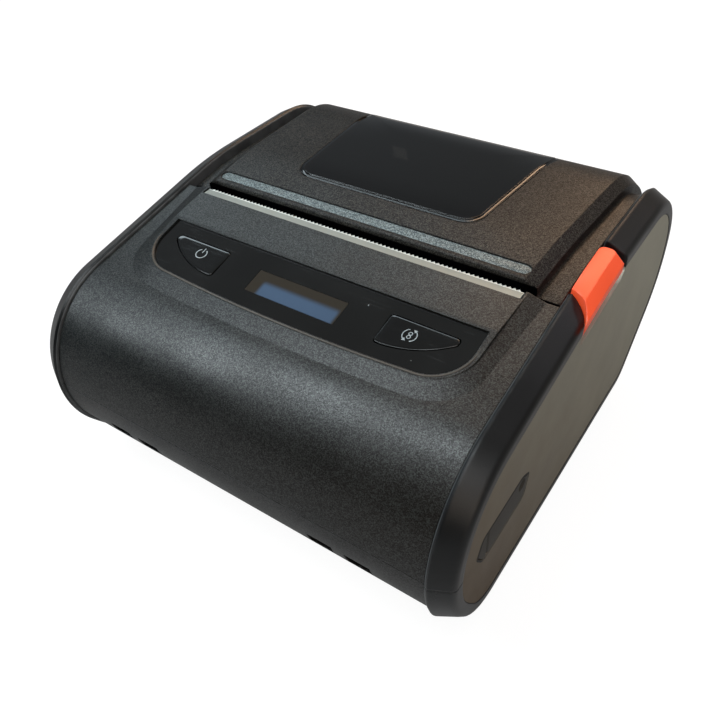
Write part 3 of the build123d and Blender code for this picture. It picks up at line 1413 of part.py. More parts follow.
def status_light():
    """Light pipe of the status light."""
    return on_panel(Pos(LIGHT_X, LIGHT_Y) * Circle(LIGHT_R), 0, -OVERLAY_THICK)


def display_lens():
    """Clear window over the display."""
    return on_panel(lens_face(), 0, -OVERLAY_THICK)


def display_module():
    """Display with its carrier, standing on the key board."""
    return on_panel(display_face(), -OVERLAY_THICK - SEAT_GAP, KEY_BOARD_TOP)


PARTS = {
    "upper_casing": upper_casing,
    "lower_casing": lower_casing,
    "left_end_cap_upper": left_end_cap_upper,
    "left_end_cap_lower": left_end_cap_lower,
    "right_end_cap_upper": right_end_cap_upper,
    "right_end_cap_lower": right_end_cap_lower,
    "left_side_panel": left_side_panel,
    "right_side_panel": right_side_panel,
    "control_panel": control_panel,
    "display_lens": display_lens,
    "display_module": display_module,
    "status_light": status_light,
    "power_key": lambda: key(-1),
    "feed_key": lambda: key(1),
    "key_board": key_board,
    "key_board_screws": small_screws_on_panel,
    "tact_switches": tact_switches,
    "tear_bar": tear_bar,
    "mechanism_frame": mechanism_frame,
    "thermal_head": thermal_head,
    "head_heat_sink": head_heat_sink,
    "head_springs": head_springs,
    "stepper_motor": stepper_motor,
    "motor_pinion": motor_pinion,
    "reduction_gear": reduction_gear,
    "gear_stud": gear_stud,
    "roll_bin": roll_bin,
    "paper_sensor": paper_sensor,
    "main_board": main_board,
    "board_parts": board_parts,
    "buzzer": buzzer,
    "usb_socket": usb_socket,
    "battery_pack": battery_pack,
    "battery_door": battery_door,
    "door_screws": door_screws,
    "casing_screws": casing_screws,
    "board_screws": board_screws,
    "rubber_feet": rubber_feet,
    "hinge_pins": hinge_pins,
    "paper_cover": paper_cover,
    "cover_window": cover_window,
    "platen_holder": platen_holder,
    "platen_bushes": platen_bushes,
    "holder_screws": holder_screws,
    "platen_roller": platen_roller,
    "platen_shaft": platen_shaft,
    "platen_gear": platen_gear,
    "release_slide": release_slide,
    "slide_spring": slide_spring,
    "port_flap": port_flap,
    "flap_anchor": flap_anchor,
}


def main():
    """Write each piece to its own file."""
    os.makedirs("parts", exist_ok=True)
    for name, make in PARTS.items():
        export_step(make(), f"parts/{name}.step")
        print(name)


main()
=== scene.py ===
"""Looks of the portable receipt printer: finishes, rounded pieces, printed marks, light and camera.

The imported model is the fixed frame. Sizes are in millimetres and become metres when a mesh is made.
"""

import logging
import math
from dataclasses import dataclass
from enum import Enum

import bmesh
import bpy
import numpy as np
from mathutils import Matrix, Vector


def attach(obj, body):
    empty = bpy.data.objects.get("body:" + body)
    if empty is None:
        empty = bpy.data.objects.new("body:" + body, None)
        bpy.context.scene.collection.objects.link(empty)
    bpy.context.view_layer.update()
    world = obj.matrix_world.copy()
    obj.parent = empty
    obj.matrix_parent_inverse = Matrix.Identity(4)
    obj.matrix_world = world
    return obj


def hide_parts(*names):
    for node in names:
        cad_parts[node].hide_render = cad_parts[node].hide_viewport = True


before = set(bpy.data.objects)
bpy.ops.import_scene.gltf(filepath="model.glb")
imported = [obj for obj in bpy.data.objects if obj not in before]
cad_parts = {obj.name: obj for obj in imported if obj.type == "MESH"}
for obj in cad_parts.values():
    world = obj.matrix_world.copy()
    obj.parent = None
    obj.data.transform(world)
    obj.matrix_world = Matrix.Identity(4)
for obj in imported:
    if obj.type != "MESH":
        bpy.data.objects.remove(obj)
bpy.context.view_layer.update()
MM = 0.001
LOG = logging.getLogger("receipt_printer")

Node = bpy.types.Node
Socket = bpy.types.NodeSocket
Piece = bpy.types.Object

# Noise seldom leaves this range, so each pattern stretches it to its own
CLOUD_RANGE = (0.3, 0.7)
BEVEL_SAMPLES = 4
WHITE = (1.0, 1.0, 1.0, 1.0)


# Small tools for colours, nodes and meshes


def linear(code: str) -> tuple[float, float, float, float]:
    """Turns an sRGB hex colour into the linear colour that a shader takes.

    Args:
        code: Six hex digits.

    Returns:
        Red, green, blue and an alpha of one.
    """
    parts = [int(code[i : i + 2], 16) / 255 for i in (0, 2, 4)]
    return (*[c / 12.92 if c <= 0.04045 else ((c + 0.055) / 1.055) ** 2.4 for c in parts], 1.0)


def metres(*lengths: float) -> list[float]:
    """Lengths in metres, from millimetres."""
    return [length * MM for length in lengths]


def pattern_scale(cell_mm: float) -> float:
    """Scale of a pattern whose cells are as wide as that, in millimetres."""
    return 1 / (cell_mm * MM)


@dataclass
class Graph:
    """Node tree of a material or the world, with the place and brightness that a finish's patterns follow.

    A Mix node of colours has its factor at input 0, its colours at 6 and 7, and its result at output 2.
    """

    tree: bpy.types.NodeTree
    place: Socket | None = None
    level: Socket | None = None

    def feed(self, node: Node, inputs: dict | list) -> None:
        """Gives a node's inputs their values, or links them to the outputs that feed them.

        Args:
            node: The node.
            inputs: Values and outputs, by the inputs' names or numbers, or as a list in the node's own order.
        """
        for key, value in enumerate(inputs) if isinstance(inputs, list) else inputs.items():
            if isinstance(value, Socket):
                self.tree.links.new(value, node.inputs[key])
            else:
                node.inputs[key].default_value = value

    def add(self, kind: str, inputs: dict | list | None = None, **settings) -> Node:
        """Adds a node, sets its properties, and feeds its inputs.

        Args:
            kind: Blender's name for the type of node, less its first word ShaderNode.
            inputs: What feeds the inputs, as for feed.
            **settings: Properties of the node itself.

        Returns:
            The new node.
        """
        node = self.tree.nodes.new("ShaderNode" + kind)
        for name, value in settings.items():
            setattr(node, name, value)
        self.feed(node, inputs or {})
        return node


def blank_material(title: str) -> tuple[bpy.types.Material, Graph, Node]:
    """Makes a material with a bare shader.

    Args:
        title: Name of the material.

    Returns:
        The material, its nodes and its Principled shader.
    """
    material = bpy.data.materials.new(title)
    material.use_nodes = True
    return material, Graph(material.node_tree), material.node_tree.nodes["Principled BSDF"]


def grid_faces(rows: int, columns: int, closed: bool = True) -> np.ndarray:
    """Quads between the rows of a grid of points.

    Args:
        rows: Number of rows.
        columns: Points in each row.
        closed: True where the last point of a row meets its first.

    Returns:
        Four point numbers for each quad.
    """
    i, j = np.meshgrid(np.arange(rows - 1), np.arange(columns if closed else columns - 1), indexing="ij")
    k = (j + 1) % columns
    quads = np.stack([i * columns + j, i * columns + k, (i + 1) * columns + k, (i + 1) * columns + j], -1)
    return quads.reshape(-1, 4)


def make_piece(name: str, points: np.ndarray, faces: np.ndarray, flat: bool = False) -> Piece:
    """Makes a mesh object at the origin from points in millimetres.

    Args:
        name: Name of the piece.
        points: Array of points, in the part's frame.
        faces: Point numbers of each face.
        flat: True for flat shading.

    Returns:
        The new object.
    """
    mesh = bpy.data.meshes.new(name)
    mesh.from_pydata((points.reshape(-1, 3) * MM).tolist(), [], faces.tolist())
    mesh.validate()
    mesh.polygons.foreach_set("use_smooth", np.full(len(mesh.polygons), not flat))
    mesh.update()
    piece = bpy.data.objects.new(name, mesh)
    bpy.context.scene.collection.objects.link(piece)
    return piece


def rounded_loop(corners: tuple, steps: int) -> tuple[np.ndarray, np.ndarray]:
    """Closed outline of a polygon with rounded corners.

    Each corner's arc has its centre on the corner's bisector, at radius over sine of half the
    corner's angle; the arc's points are centre plus radius times the turning unit vector, which
    is the outward normal too.

    Args:
        corners: First coordinate, second coordinate and radius of each corner, counter-clockwise.
        steps: Points on each arc.

    Returns:
        Points and outward unit normals, one row each.
    """
    table = np.array(corners, float)
    point, radius = table[:, :2], table[:, 2:3]
    back = np.roll(point, 1, 0) - point
    ahead = np.roll(point, -1, 0) - point
    back /= np.linalg.norm(back, axis=1, keepdims=True)
    ahead /= np.linalg.norm(ahead, axis=1, keepdims=True)
    half = np.arccos(np.clip((back * ahead).sum(1, keepdims=True), -1, 1)) / 2
    bisector = (back + ahead) / np.linalg.norm(back + ahead, axis=1, keepdims=True)
    centre = point + bisector * radius / np.sin(half)
    start = np.arctan2(-back[:, 0], back[:, 1])[:, None] + math.pi
    turn = math.pi - 2 * half
    angle = start + turn * np.linspace(0, 1, steps)[None, :]
    normal = np.stack([np.cos(angle), np.sin(angle)], -1)
    loop = centre[:, None, :] + radius[:, None, :] * normal
    return loop.reshape(-1, 2), normal.reshape(-1, 2)


def densify(loop: np.ndarray, normal: np.ndarray, times: int) -> tuple[np.ndarray, np.ndarray]:
    """Adds points to an outline, by straight steps from each point to the next.

    Args:
        loop: Points of the outline.
        normal: Outward normals at those points.
        times: Steps from a point to the next.

    Returns:
        The denser outline and its normals.
    """
    share = np.arange(times)[None, :, None] / times
    after, turned = np.roll(loop, -1, 0), np.roll(normal, -1, 0)
    dense = loop[:, None] * (1 - share) + after[:, None] * share
    facing = normal[:, None] * (1 - share) + turned[:, None] * share
    facing /= np.linalg.norm(facing, axis=-1, keepdims=True)
    return dense.reshape(-1, 2), facing.reshape(-1, 2)


def rounded_edge(top: float, radius: float, bottom: float, steps: int = 6) -> np.ndarray:
    """Edge profile of a slab: a small chamfer under its wall, then a quarter round up to its top.

    The chamfer is half as large as the round. The round's inset is radius times one minus
    cosine, and its height is top minus radius times one minus sine.

    Args:
        top: Height of the slab's face.
        radius: Radius of the eased edge.
        bottom: Height of the slab's underside.
        steps: Points on the quarter round.

    Returns:
        Rows of inset and height, from the underside up.
    """
    angle = np.linspace(0, math.pi / 2, steps)
    arc = np.stack([radius * (1 - np.cos(angle)), top - radius * (1 - np.sin(angle))], -1)
    return np.concatenate([[[radius * 0.5, bottom], [0.0, bottom + radius * 0.5]], arc])


def slab_surface(loop: np.ndarray, normal: np.ndarray, profile: np.ndarray, rings: int) -> np.ndarray:
    """Closed slab over a convex outline, as a grid of rings.

    The first rings grow from the middle of the underside to its edge, the next carry the profile
    round the outline, each point moved inwards along its normal by the profile's inset, and the
    last shrink to the middle of the top.

    Args:
        loop: Points of the outline.
        normal: Outward normals at those points.
        profile: Rows of inset and height.
        rings: Rings on the top and on the underside.

    Returns:
        Array of rings, points and three coordinates: the outline's two, then height.
    """
    middle = loop.mean(0)
    walls = loop[None] - normal[None] * profile[:, 0][:, None, None]
    heights = np.broadcast_to(profile[:, 1][:, None, None], (len(profile), len(loop), 1))
    share = np.linspace(0, 1, rings)[:-1][:, None, None]
    low = np.concatenate([middle + (walls[0] - middle) * share, heights[:1].repeat(rings - 1, 0)], -1)
    top = middle + (walls[-1] - middle) * share[::-1]
    high = np.concatenate([top, heights[-1:].repeat(rings - 1, 0)], -1)
    return np.concatenate([low, np.concatenate([walls, heights], -1), high])


def dress(look: "Looks", *names: str) -> None:
    """Gives CAD nodes their finish.

    Args:
        look: The finish.
        *names: Names of the nodes.
    """
    for name in names:
        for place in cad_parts[name].material_slots:
            place.material = look.material()
    LOG.info("%s: %s", look.name.lower(), ", ".join(names))


def place_piece(piece: Piece, body: str, slot: str, look: "Looks", *stands_for: str) -> None:
    """Gives a new piece its finish and its body, and hides the CAD nodes it stands for.

    Args:
        piece: The new piece.
        body: Name of the body that it moves with.
        slot: Not used.
        look: Finish of the piece.
        *stands_for: Names of the CAD nodes that it replaces.
    """
    piece.data.materials.clear()
    piece.data.materials.append(look.material())
    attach(piece, body)
    if stands_for:
        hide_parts(*stands_for)
    LOG.info("%s rides on %s, %d faces", piece.name, body, len(piece.data.polygons))


# Finishes


@dataclass(frozen=True)
class Finish:
    """Surface common to every finish: a base colour that varies, a grain and slightly rounded edges.

    Rubbed edges show edge_colour, where one is given. Wear runs between two cosines of the angle
    from the eased normal to the face's own, and noise breaks it up into patches wear_mm wide.
    """

    title: str
    colour: str
    roughness: float = 0.5
    metallic: float = 0.0
    ior: float = 1.5
    grain_mm: float = 0.5
    grain_depth_mm: float = 0.01
    mottle: float = 0.12
    mottle_mm: float = 16.0
    smudge: float = 0.06
    smoothest: float = 0.02
    edge_mm: float = 0.2
    edge_colour: str = ""
    wear_cosines: tuple = (0.985, 0.9)
    wear_share: float = 0.8
    wear_mm: float = 3.3333
    wear_patches: tuple = (0.48, 0.62)

    def build(self) -> bpy.types.Material:
        """Makes the material, or finds it if it was made before.

        Returns:
            The material.
        """
        found = bpy.data.materials.get(self.title)
        if found:
            return found
        material, graph, shader = blank_material(self.title)
        graph.place = graph.add("TexCoord").outputs["Object"]
        mottle = {"Vector": graph.place, "Scale": pattern_scale(self.mottle_mm), "Detail": 4.0}
        cloud = graph.add("TexNoise", mottle).outputs["Fac"]
        drift = (1 - self.mottle, 1 + self.mottle)
        graph.level = graph.add("MapRange", [cloud, *CLOUD_RANGE, *drift]).outputs["Result"]
        blur = (max(self.roughness - self.smudge, self.smoothest), self.roughness + self.smudge)
        rough = graph.add("MapRange", [cloud, *CLOUD_RANGE, *blur]).outputs["Result"]
        colour = self.tone(graph, self.colour)
        for mask, over in self.layers(graph):
            colour = graph.add("Mix", {0: mask, 6: colour, 7: over}, data_type="RGBA").outputs[2]
        polish, normal = self.polish(graph, rough), self.relief(graph)
        graph.feed(shader, {"Base Color": colour, "Roughness": polish, "Normal": normal})
        graph.feed(shader, {"Metallic": self.metallic} if self.metallic else {"IOR": self.ior})
        self.extras(graph, shader)
        return material

    def tone(self, graph: Graph, code: str) -> Socket:
        """A hex colour times the brightness that drifts over the surface."""
        factors = [linear(code)[:3], graph.level]
        return graph.add("VectorMath", factors, operation="MULTIPLY").outputs["Vector"]

    def layers(self, graph: Graph) -> list[tuple]:
        """Masks and colours that lie over the base colour, from below up: here the rubbed edges."""
        return [(self.worn(graph), linear(self.edge_colour))] if self.edge_colour else []

    def worn(self, graph: Graph) -> Socket:
        """Mask of the rubbed edges.

        Args:
            graph: Nodes of the material.

        Returns:
            The mask.
        """
        bent = graph.add("Bevel", {"Radius": self.edge_mm * MM}, samples=BEVEL_SAMPLES).outputs["Normal"]
        own = graph.add("NewGeometry").outputs["Normal"]
        match = graph.add("VectorMath", [bent, own], operation="DOT_PRODUCT").outputs["Value"]
        edge = graph.add("MapRange", [match, *self.wear_cosines, 0.0, self.wear_share]).outputs["Result"]
        cloud = graph.add(
            "TexNoise", {"Vector": graph.place, "Scale": pattern_scale(self.wear_mm), "Detail": 3.0}
        )
        broken = graph.add("MapRange", [cloud.outputs["Fac"], *self.wear_patches]).outputs["Result"]
        return graph.add("Math", [edge, broken], operation="MULTIPLY").outputs["Value"]

    def polish(self, graph: Graph, rough: Socket) -> Socket:
        """Roughness of the surface, unchanged unless a finish has more to add."""
        return rough

    def height(self, graph: Graph) -> Socket:
        """Relief of the grain: noise whose cells are as wide as the grain."""
        grain = {"Vector": graph.place, "Scale": pattern_scale(self.grain_mm), "Detail": 2.0}
        return graph.add("TexNoise", grain).outputs["Fac"]

    def relief(self, graph: Graph) -> Socket:
        """Normal of the surface: eased edges, then the grain's relief.

        Args:
            graph: Nodes of the material.

        Returns:
            The normal.
        """
        eased = graph.add("Bevel", {"Radius": self.easing(graph)}, samples=BEVEL_SAMPLES).outputs["Normal"]
        grain = {"Height": self.height(graph), "Distance": self.grain_depth_mm * MM, "Normal": eased}
        return graph.add("Bump", grain).outputs["Normal"]

    def easing(self, graph: Graph) -> float | Socket:
        """Radius of the eased edges in metres, the same everywhere unless a finish changes it."""
        return self.edge_mm * MM

    def extras(self, graph: Graph, shader: Node) -> None:
        """Further settings of the shader, none unless a finish has them."""


@dataclass(frozen=True)
class FleckedAbs(Finish):
    """ABS moulded in a spark-eroded tool, with metal flake in the resin: a fine sparkling black.

    A real grain is about 0.1 mm wide, too fine for the render, so it is drawn nearly twice as wide.
    """

    fleck: str = "6d6a60"
    fleck_mm: float = 0.18
    fleck_share: float = 0.35
    shine: tuple = (0.25, 0.78)
    # Painted light: a warmer tone across X, for the warm light that falls on the right side
    warm: str = ""
    warm_span_mm: tuple = (-45.0, 50.0)

    def cell(self, graph: Graph) -> Socket:
        """Random number from 0 to 1 for each grain of the moulded texture."""
        cells = graph.add("TexVoronoi", {"Vector": graph.place, "Scale": pattern_scale(self.fleck_mm)})
        return graph.add("SeparateColor", [cells.outputs["Color"]]).outputs["Red"]

    def layers(self, graph: Graph) -> list[tuple]:
        """A warm tint towards the right where one is given, which is painted warm light on that side, and
        flakes on a share of the grains.

        Args:
            graph: Nodes of the material.

        Returns:
            Masks and colours.
        """
        layers = []
        if self.warm:
            across = graph.add("SeparateXYZ", [graph.place]).outputs["X"]
            side = graph.add("MapRange", [across, *metres(*self.warm_span_mm)]).outputs["Result"]
            layers.append((side, self.tone(graph, self.warm)))
        flake = graph.add("MapRange", [self.cell(graph), 1 - self.fleck_share]).outputs["Result"]
        return [*layers, (flake, linear(self.fleck)), *super().layers(graph)]

    def extras(self, graph: Graph, shader: Node) -> None:
        """Each grain mirrors by a different amount, so that highlights sparkle."""
        sparkle = graph.add("MapRange", [self.cell(graph), 0.0, 1.0, *self.shine]).outputs["Result"]
        graph.feed(shader, {"Specular IOR Level": sparkle})


@dataclass(frozen=True)
class LippedAbs(FleckedAbs):
    """The cover's resin: a wide soft lip in front, and under it the wall of the paper slot, painted plain
    black as shade.
    """

    lip_mm: float = 1.0
    lip_span_mm: tuple = (-3.8, -4.4)
    wall_y_mm: tuple = (-4.7, -4.9)
    wall_z_mm: tuple = (56.8, 56.4)
    # Painted shade: the paper slot's wall under the lip is drawn plain black
    wall_shade: str = "040405"

    def wall(self, graph: Graph) -> Socket:
        """Mask of the front wall's painted shade: in front of the lip's line and under the lip.

        Args:
            graph: Nodes of the material.

        Returns:
            The mask.
        """
        axes = graph.add("SeparateXYZ", [graph.place]).outputs
        ahead = graph.add("MapRange", [axes["Y"], *metres(*self.wall_y_mm)]).outputs["Result"]
        under = graph.add("MapRange", [axes["Z"], *metres(*self.wall_z_mm)]).outputs["Result"]
        return graph.add("Math", [ahead, under], operation="MULTIPLY").outputs["Value"]

    def layers(self, graph: Graph) -> list[tuple]:
        """Flakes, and painted shade, plain black, on the wall of the paper slot."""
        return [*super().layers(graph), (self.wall(graph), linear(self.wall_shade))]

    def easing(self, graph: Graph) -> Socket:
        """Edges are eased by edge_mm, and the front lip by lip_mm.

        Args:
            graph: Nodes of the material.

        Returns:
            The radius in metres.
        """
        along = graph.add("SeparateXYZ", [graph.place]).outputs["Y"]
        span = metres(*self.lip_span_mm, self.edge_mm, self.lip_mm)
        return graph.add("MapRange", [along, *span]).outputs["Result"]

    def extras(self, graph: Graph, shader: Node) -> None:
        """Sparkle of the grains, which stops in the wall's painted shade.

        Args:
            graph: Nodes of the material.
            shader: The material's shader.
        """
        super().extras(graph, shader)
        sparkle = shader.inputs["Specular IOR Level"].links[0].from_socket
        lit = graph.add("Math", [1.0, self.wall(graph)], operation="SUBTRACT").outputs["Value"]
        kept = graph.add("Math", [sparkle, lit], operation="MULTIPLY").outputs["Value"]
        graph.feed(shader, {"Specular IOR Level": kept})


@dataclass(frozen=True)
class PaintedLightAbs(Finish):
    """Matt brown insert, painted lighter and greener grey towards the upper rear as painted light and
    reflection.

    The tones blend along the diagonal, and blotches of noise make the border uneven.
    """

    # Painted light: the pale tone of the lit, reflecting upper rear
    painted_light_colour: str = "bfbfb2"
    span_mm: tuple = (-44.0, 76.0)
    blotch_mm: float = 11.111
    blotch_rough: float = 0.65
    drift: float = 0.05
    mirror: float = 0.3

    def layers(self, graph: Graph) -> list[tuple]:
        """The painted light's paler tone over the brown.

        Args:
            graph: Nodes of the material.

        Returns:
            Masks and colours.
        """
        axes = graph.add("SeparateXYZ", [graph.place]).outputs
        along = graph.add("Math", [axes["Y"], axes["Z"]], operation="ADD").outputs["Value"]
        share = graph.add("MapRange", [along, *metres(*self.span_mm)]).outputs["Result"]
        cloud = {"Scale": pattern_scale(self.blotch_mm), "Detail": 5.0, "Roughness": self.blotch_rough}
        blotch = graph.add("TexNoise", {"Vector": graph.place, **cloud}).outputs["Fac"]
        drift = graph.add("MapRange", [blotch, *CLOUD_RANGE, -self.drift, self.drift]).outputs["Result"]
        mask = graph.add("Math", [share, drift], operation="ADD", use_clamp=True).outputs["Value"]
        return [(mask, self.tone(graph, self.painted_light_colour)), *super().layers(graph)]

    def extras(self, graph: Graph, shader: Node) -> None:
        """Blasted surface that mirrors little."""
        graph.feed(shader, {"Specular IOR Level": self.mirror})


@dataclass(frozen=True)
class PianoBlack(Finish):
    """Acrylic film or polished ABS: deep black gloss with a few dust specks and hair scratches.

    Dust lies at the middles of a few cells, dust_mm wide. Scratches are noise stretched to the
    widths in scratch_mm and turned.
    """

    dust: str = "8d8f8c"
    dust_mm: float = 3.0303
    dust_chance: float = 0.9
    dust_size: tuple = (0.05, 0.02)
    scratch_turn: float = 0.5
    scratch_mm: tuple = (8.3333, 0.25, 2.5)
    scratch_range: tuple = (0.66, 0.74)
    scratch_rough: float = 0.12
    coat: float = 0.6
    coat_rough: float = 0.03

    def layers(self, graph: Graph) -> list[tuple]:
        """Specks of dust.

        Args:
            graph: Nodes of the material.

        Returns:
            Masks and colours.
        """
        cells = graph.add("TexVoronoi", {"Vector": graph.place, "Scale": pattern_scale(self.dust_mm)}).outputs
        chance = graph.add("SeparateColor", [cells["Color"]]).outputs["Green"]
        rare = graph.add("Math", [chance, self.dust_chance], operation="GREATER_THAN").outputs["Value"]
        near = graph.add("MapRange", [cells["Distance"], *self.dust_size]).outputs["Result"]
        mask = graph.add("Math", [rare, near], operation="MULTIPLY").outputs["Value"]
        return [(mask, linear(self.dust)), *super().layers(graph)]

    def polish(self, graph: Graph, rough: Socket) -> Socket:
        """Hair scratches, a little rougher than the gloss.

        Args:
            graph: Nodes of the material.
            rough: Roughness of the gloss.

        Returns:
            Roughness with the scratches.
        """
        scale = [pattern_scale(width) for width in self.scratch_mm]
        turn = {"Rotation": (0.0, 0.0, self.scratch_turn), "Scale": scale}
        turned = graph.add("Mapping", {"Vector": graph.place, **turn}).outputs["Vector"]
        lines = graph.add("TexNoise", {"Vector": turned, "Scale": 1.0, "Detail": 1.0}).outputs["Fac"]
        hair = graph.add("MapRange", [lines, *self.scratch_range, 0.0, self.scratch_rough]).outputs["Result"]
        return graph.add("Math", [rough, hair], operation="ADD").outputs["Value"]

    def extras(self, graph: Graph, shader: Node) -> None:
        """Clear lacquer coat."""
        graph.feed(shader, {"Coat Weight": self.coat, "Coat Roughness": self.coat_rough})


@dataclass(frozen=True)
class SmokedGlass(Finish):
    """Smoked polycarbonate: clear, but dyed so dark that the bin behind it only shows in strong light."""

    clear: float = 0.85
    mirror: float = 0.5

    def extras(self, graph: Graph, shader: Node) -> None:
        """Lets light through, and mirrors by the share given: less than half for a coated pane."""
        graph.feed(shader, {"Transmission Weight": self.clear, "Specular IOR Level": self.mirror})


@dataclass(frozen=True)
class BrushedMetal(Finish):
    """Rolled or brushed metal: fine lines along X that stretch the highlight."""

    line_mm: float = 0.12
    stretch: float = 60.0
    streak: float = 0.08

    def height(self, graph: Graph) -> Socket:
        """Lines along X: noise stretched that way.

        Args:
            graph: Nodes of the material.

        Returns:
            Height of the lines.
        """
        scale = pattern_scale(self.line_mm)
        long = graph.add("Mapping", {"Vector": graph.place, "Scale": (scale / self.stretch, scale, scale)})
        lines = {"Vector": long.outputs["Vector"], "Scale": 1.0, "Detail": 3.0}
        return graph.add("TexNoise", lines).outputs["Fac"]

    def polish(self, graph: Graph, rough: Socket) -> Socket:
        """Roughness that changes from line to line.

        Args:
            graph: Nodes of the material.
            rough: Roughness of the metal.

        Returns:
            Roughness with the lines.
        """
        span = [self.height(graph), 0.0, 1.0, -self.streak, self.streak]
        step = graph.add("MapRange", span).outputs["Result"]
        return graph.add("Math", [rough, step], operation="ADD").outputs["Value"]


@dataclass(frozen=True)
class GroundStrip(BrushedMetal):
    """Brushed strip whose ground toothed edge carries a painted highlight."""

    # Painted highlight of the ground teeth
    bright: str = "f2f4ee"
    ground_y_mm: tuple = (-7.15, -7.0)

    def layers(self, graph: Graph) -> list[tuple]:
        """A painted highlight, a much lighter tone, from the line where the grinding starts.

        Args:
            graph: Nodes of the material.

        Returns:
            Masks and colours.
        """
        along = graph.add("SeparateXYZ", [graph.place]).outputs["Y"]
        ground = graph.add("MapRange", [along, *metres(*self.ground_y_mm)]).outputs["Result"]
        return [(ground, linear(self.bright)), *super().layers(graph)]


@dataclass(frozen=True)
class DayGlow(Finish):
    """Moulded in a daylight-fluorescent pigment, which returns a little more orange than falls on it; that
    extra is a painted glow, the same under any lamp.
    """

    glow: float = 0.2

    def extras(self, graph: Graph, shader: Node) -> None:
        """Faint painted glow in the surface's own colour."""
        graph.feed(shader, {"Emission Color": linear(self.colour), "Emission Strength": self.glow})


@dataclass(frozen=True)
class DustAndPaintedLightRubber(Finish):
    """Soft satin rubber, with pale patches on the walls that face the cover: paper dust, painted paler than
    dust alone to lift the shade on those walls.
    """

    # Pale tone of the inner walls: dust, lightened further as painted light
    dust: str = "5c5f61"
    wall_x_mm: tuple = (48.85, 48.75)
    patch_mm: float = 3.8462
    patch_range: tuple = (0.3, 0.6)
    patch_share: tuple = (0.5, 1.0)

    def layers(self, graph: Graph) -> list[tuple]:
        """Dust and painted light where the wall faces the middle of the printer.

        Args:
            graph: Nodes of the material.

        Returns:
            Masks and colours.
        """
        across = graph.add("SeparateXYZ", [graph.place]).outputs["X"]
        out = graph.add("Math", [across], operation="ABSOLUTE").outputs["Value"]
        inner = graph.add("MapRange", [out, *metres(*self.wall_x_mm)]).outputs["Result"]
        cloud = graph.add(
            "TexNoise", {"Vector": graph.place, "Scale": pattern_scale(self.patch_mm), "Detail": 4.0}
        )
        span = [cloud.outputs["Fac"], *self.patch_range, *self.patch_share]
        patch = graph.add("MapRange", span).outputs["Result"]
        mask = graph.add("Math", [inner, patch], operation="MULTIPLY").outputs["Value"]
        return [(mask, linear(self.dust)), *super().layers(graph)]


@dataclass(frozen=True)
class CircuitBoard(Finish):
    """Glass-epoxy board under green solder mask, with copper tracks that show a shade lighter.

    The tracks are square rings round the middles of cells four pitches wide.
    """

    track: str = "2f7a4a"
    pitch_mm: float = 1.27
    tracks: float = 9.0
    track_range: tuple = (0.62, 0.7)
    jitter: float = 0.8

    def layers(self, graph: Graph) -> list[tuple]:
        """The tracks.

        Args:
            graph: Nodes of the material.

        Returns:
            Masks and colours.
        """
        grid = {"Vector": graph.place, "Scale": pattern_scale(4 * self.pitch_mm), "Randomness": self.jitter}
        cells = graph.add("TexVoronoi", grid, distance="MANHATTAN", feature="F1").outputs["Distance"]
        rings = graph.add("Math", [cells, self.tracks], operation="MULTIPLY").outputs["Value"]
        wave = graph.add("Math", [rings], operation="FRACT").outputs["Value"]
        mask = graph.add("MapRange", [wave, *self.track_range]).outputs["Result"]
        return [(mask, linear(self.track)), *super().layers(graph)]


@dataclass(frozen=True)
class DisplayFilm(Finish):
    """Liquid crystal film under clear glass, off: slate blue that fades to warm grey at three borders."""

    border: str = "2b2823"
    borders_mm: tuple = (("X", -9.0, -7.8), ("X", 11.4, 10.4), ("Y", -25.6, -27.2))
    # Painted light: the unlit film glows in its own colour
    glow: float = 0.55
    mirror: float = 0.2

    def layers(self, graph: Graph) -> list[tuple]:
        """The border, where the product of the fades from the left, right and top isn't one.

        Args:
            graph: Nodes of the material.

        Returns:
            Masks and colours.
        """
        axes = graph.add("SeparateXYZ", [graph.place]).outputs
        film = 1.0
        for axis, start, end in self.borders_mm:
            span = [axes[axis], *metres(start, end)]
            fade = graph.add("MapRange", span, interpolation_type="SMOOTHSTEP").outputs["Result"]
            film = graph.add("Math", [film, fade], operation="MULTIPLY").outputs["Value"]
        bare = graph.add("Math", [1.0, film], operation="SUBTRACT").outputs["Value"]
        return [(bare, linear(self.border)), *super().layers(graph)]

    def extras(self, graph: Graph, shader: Node) -> None:
        """A faint painted glow in its own colour, though the film is off and gives no light, and little
        mirroring.

        Args:
            graph: Nodes of the material.
            shader: The material's shader.
        """
        own = shader.inputs["Base Color"].links[0].from_socket
        glow = {"Emission Color": own, "Emission Strength": self.glow}
        graph.feed(shader, {**glow, "Specular IOR Level": self.mirror})


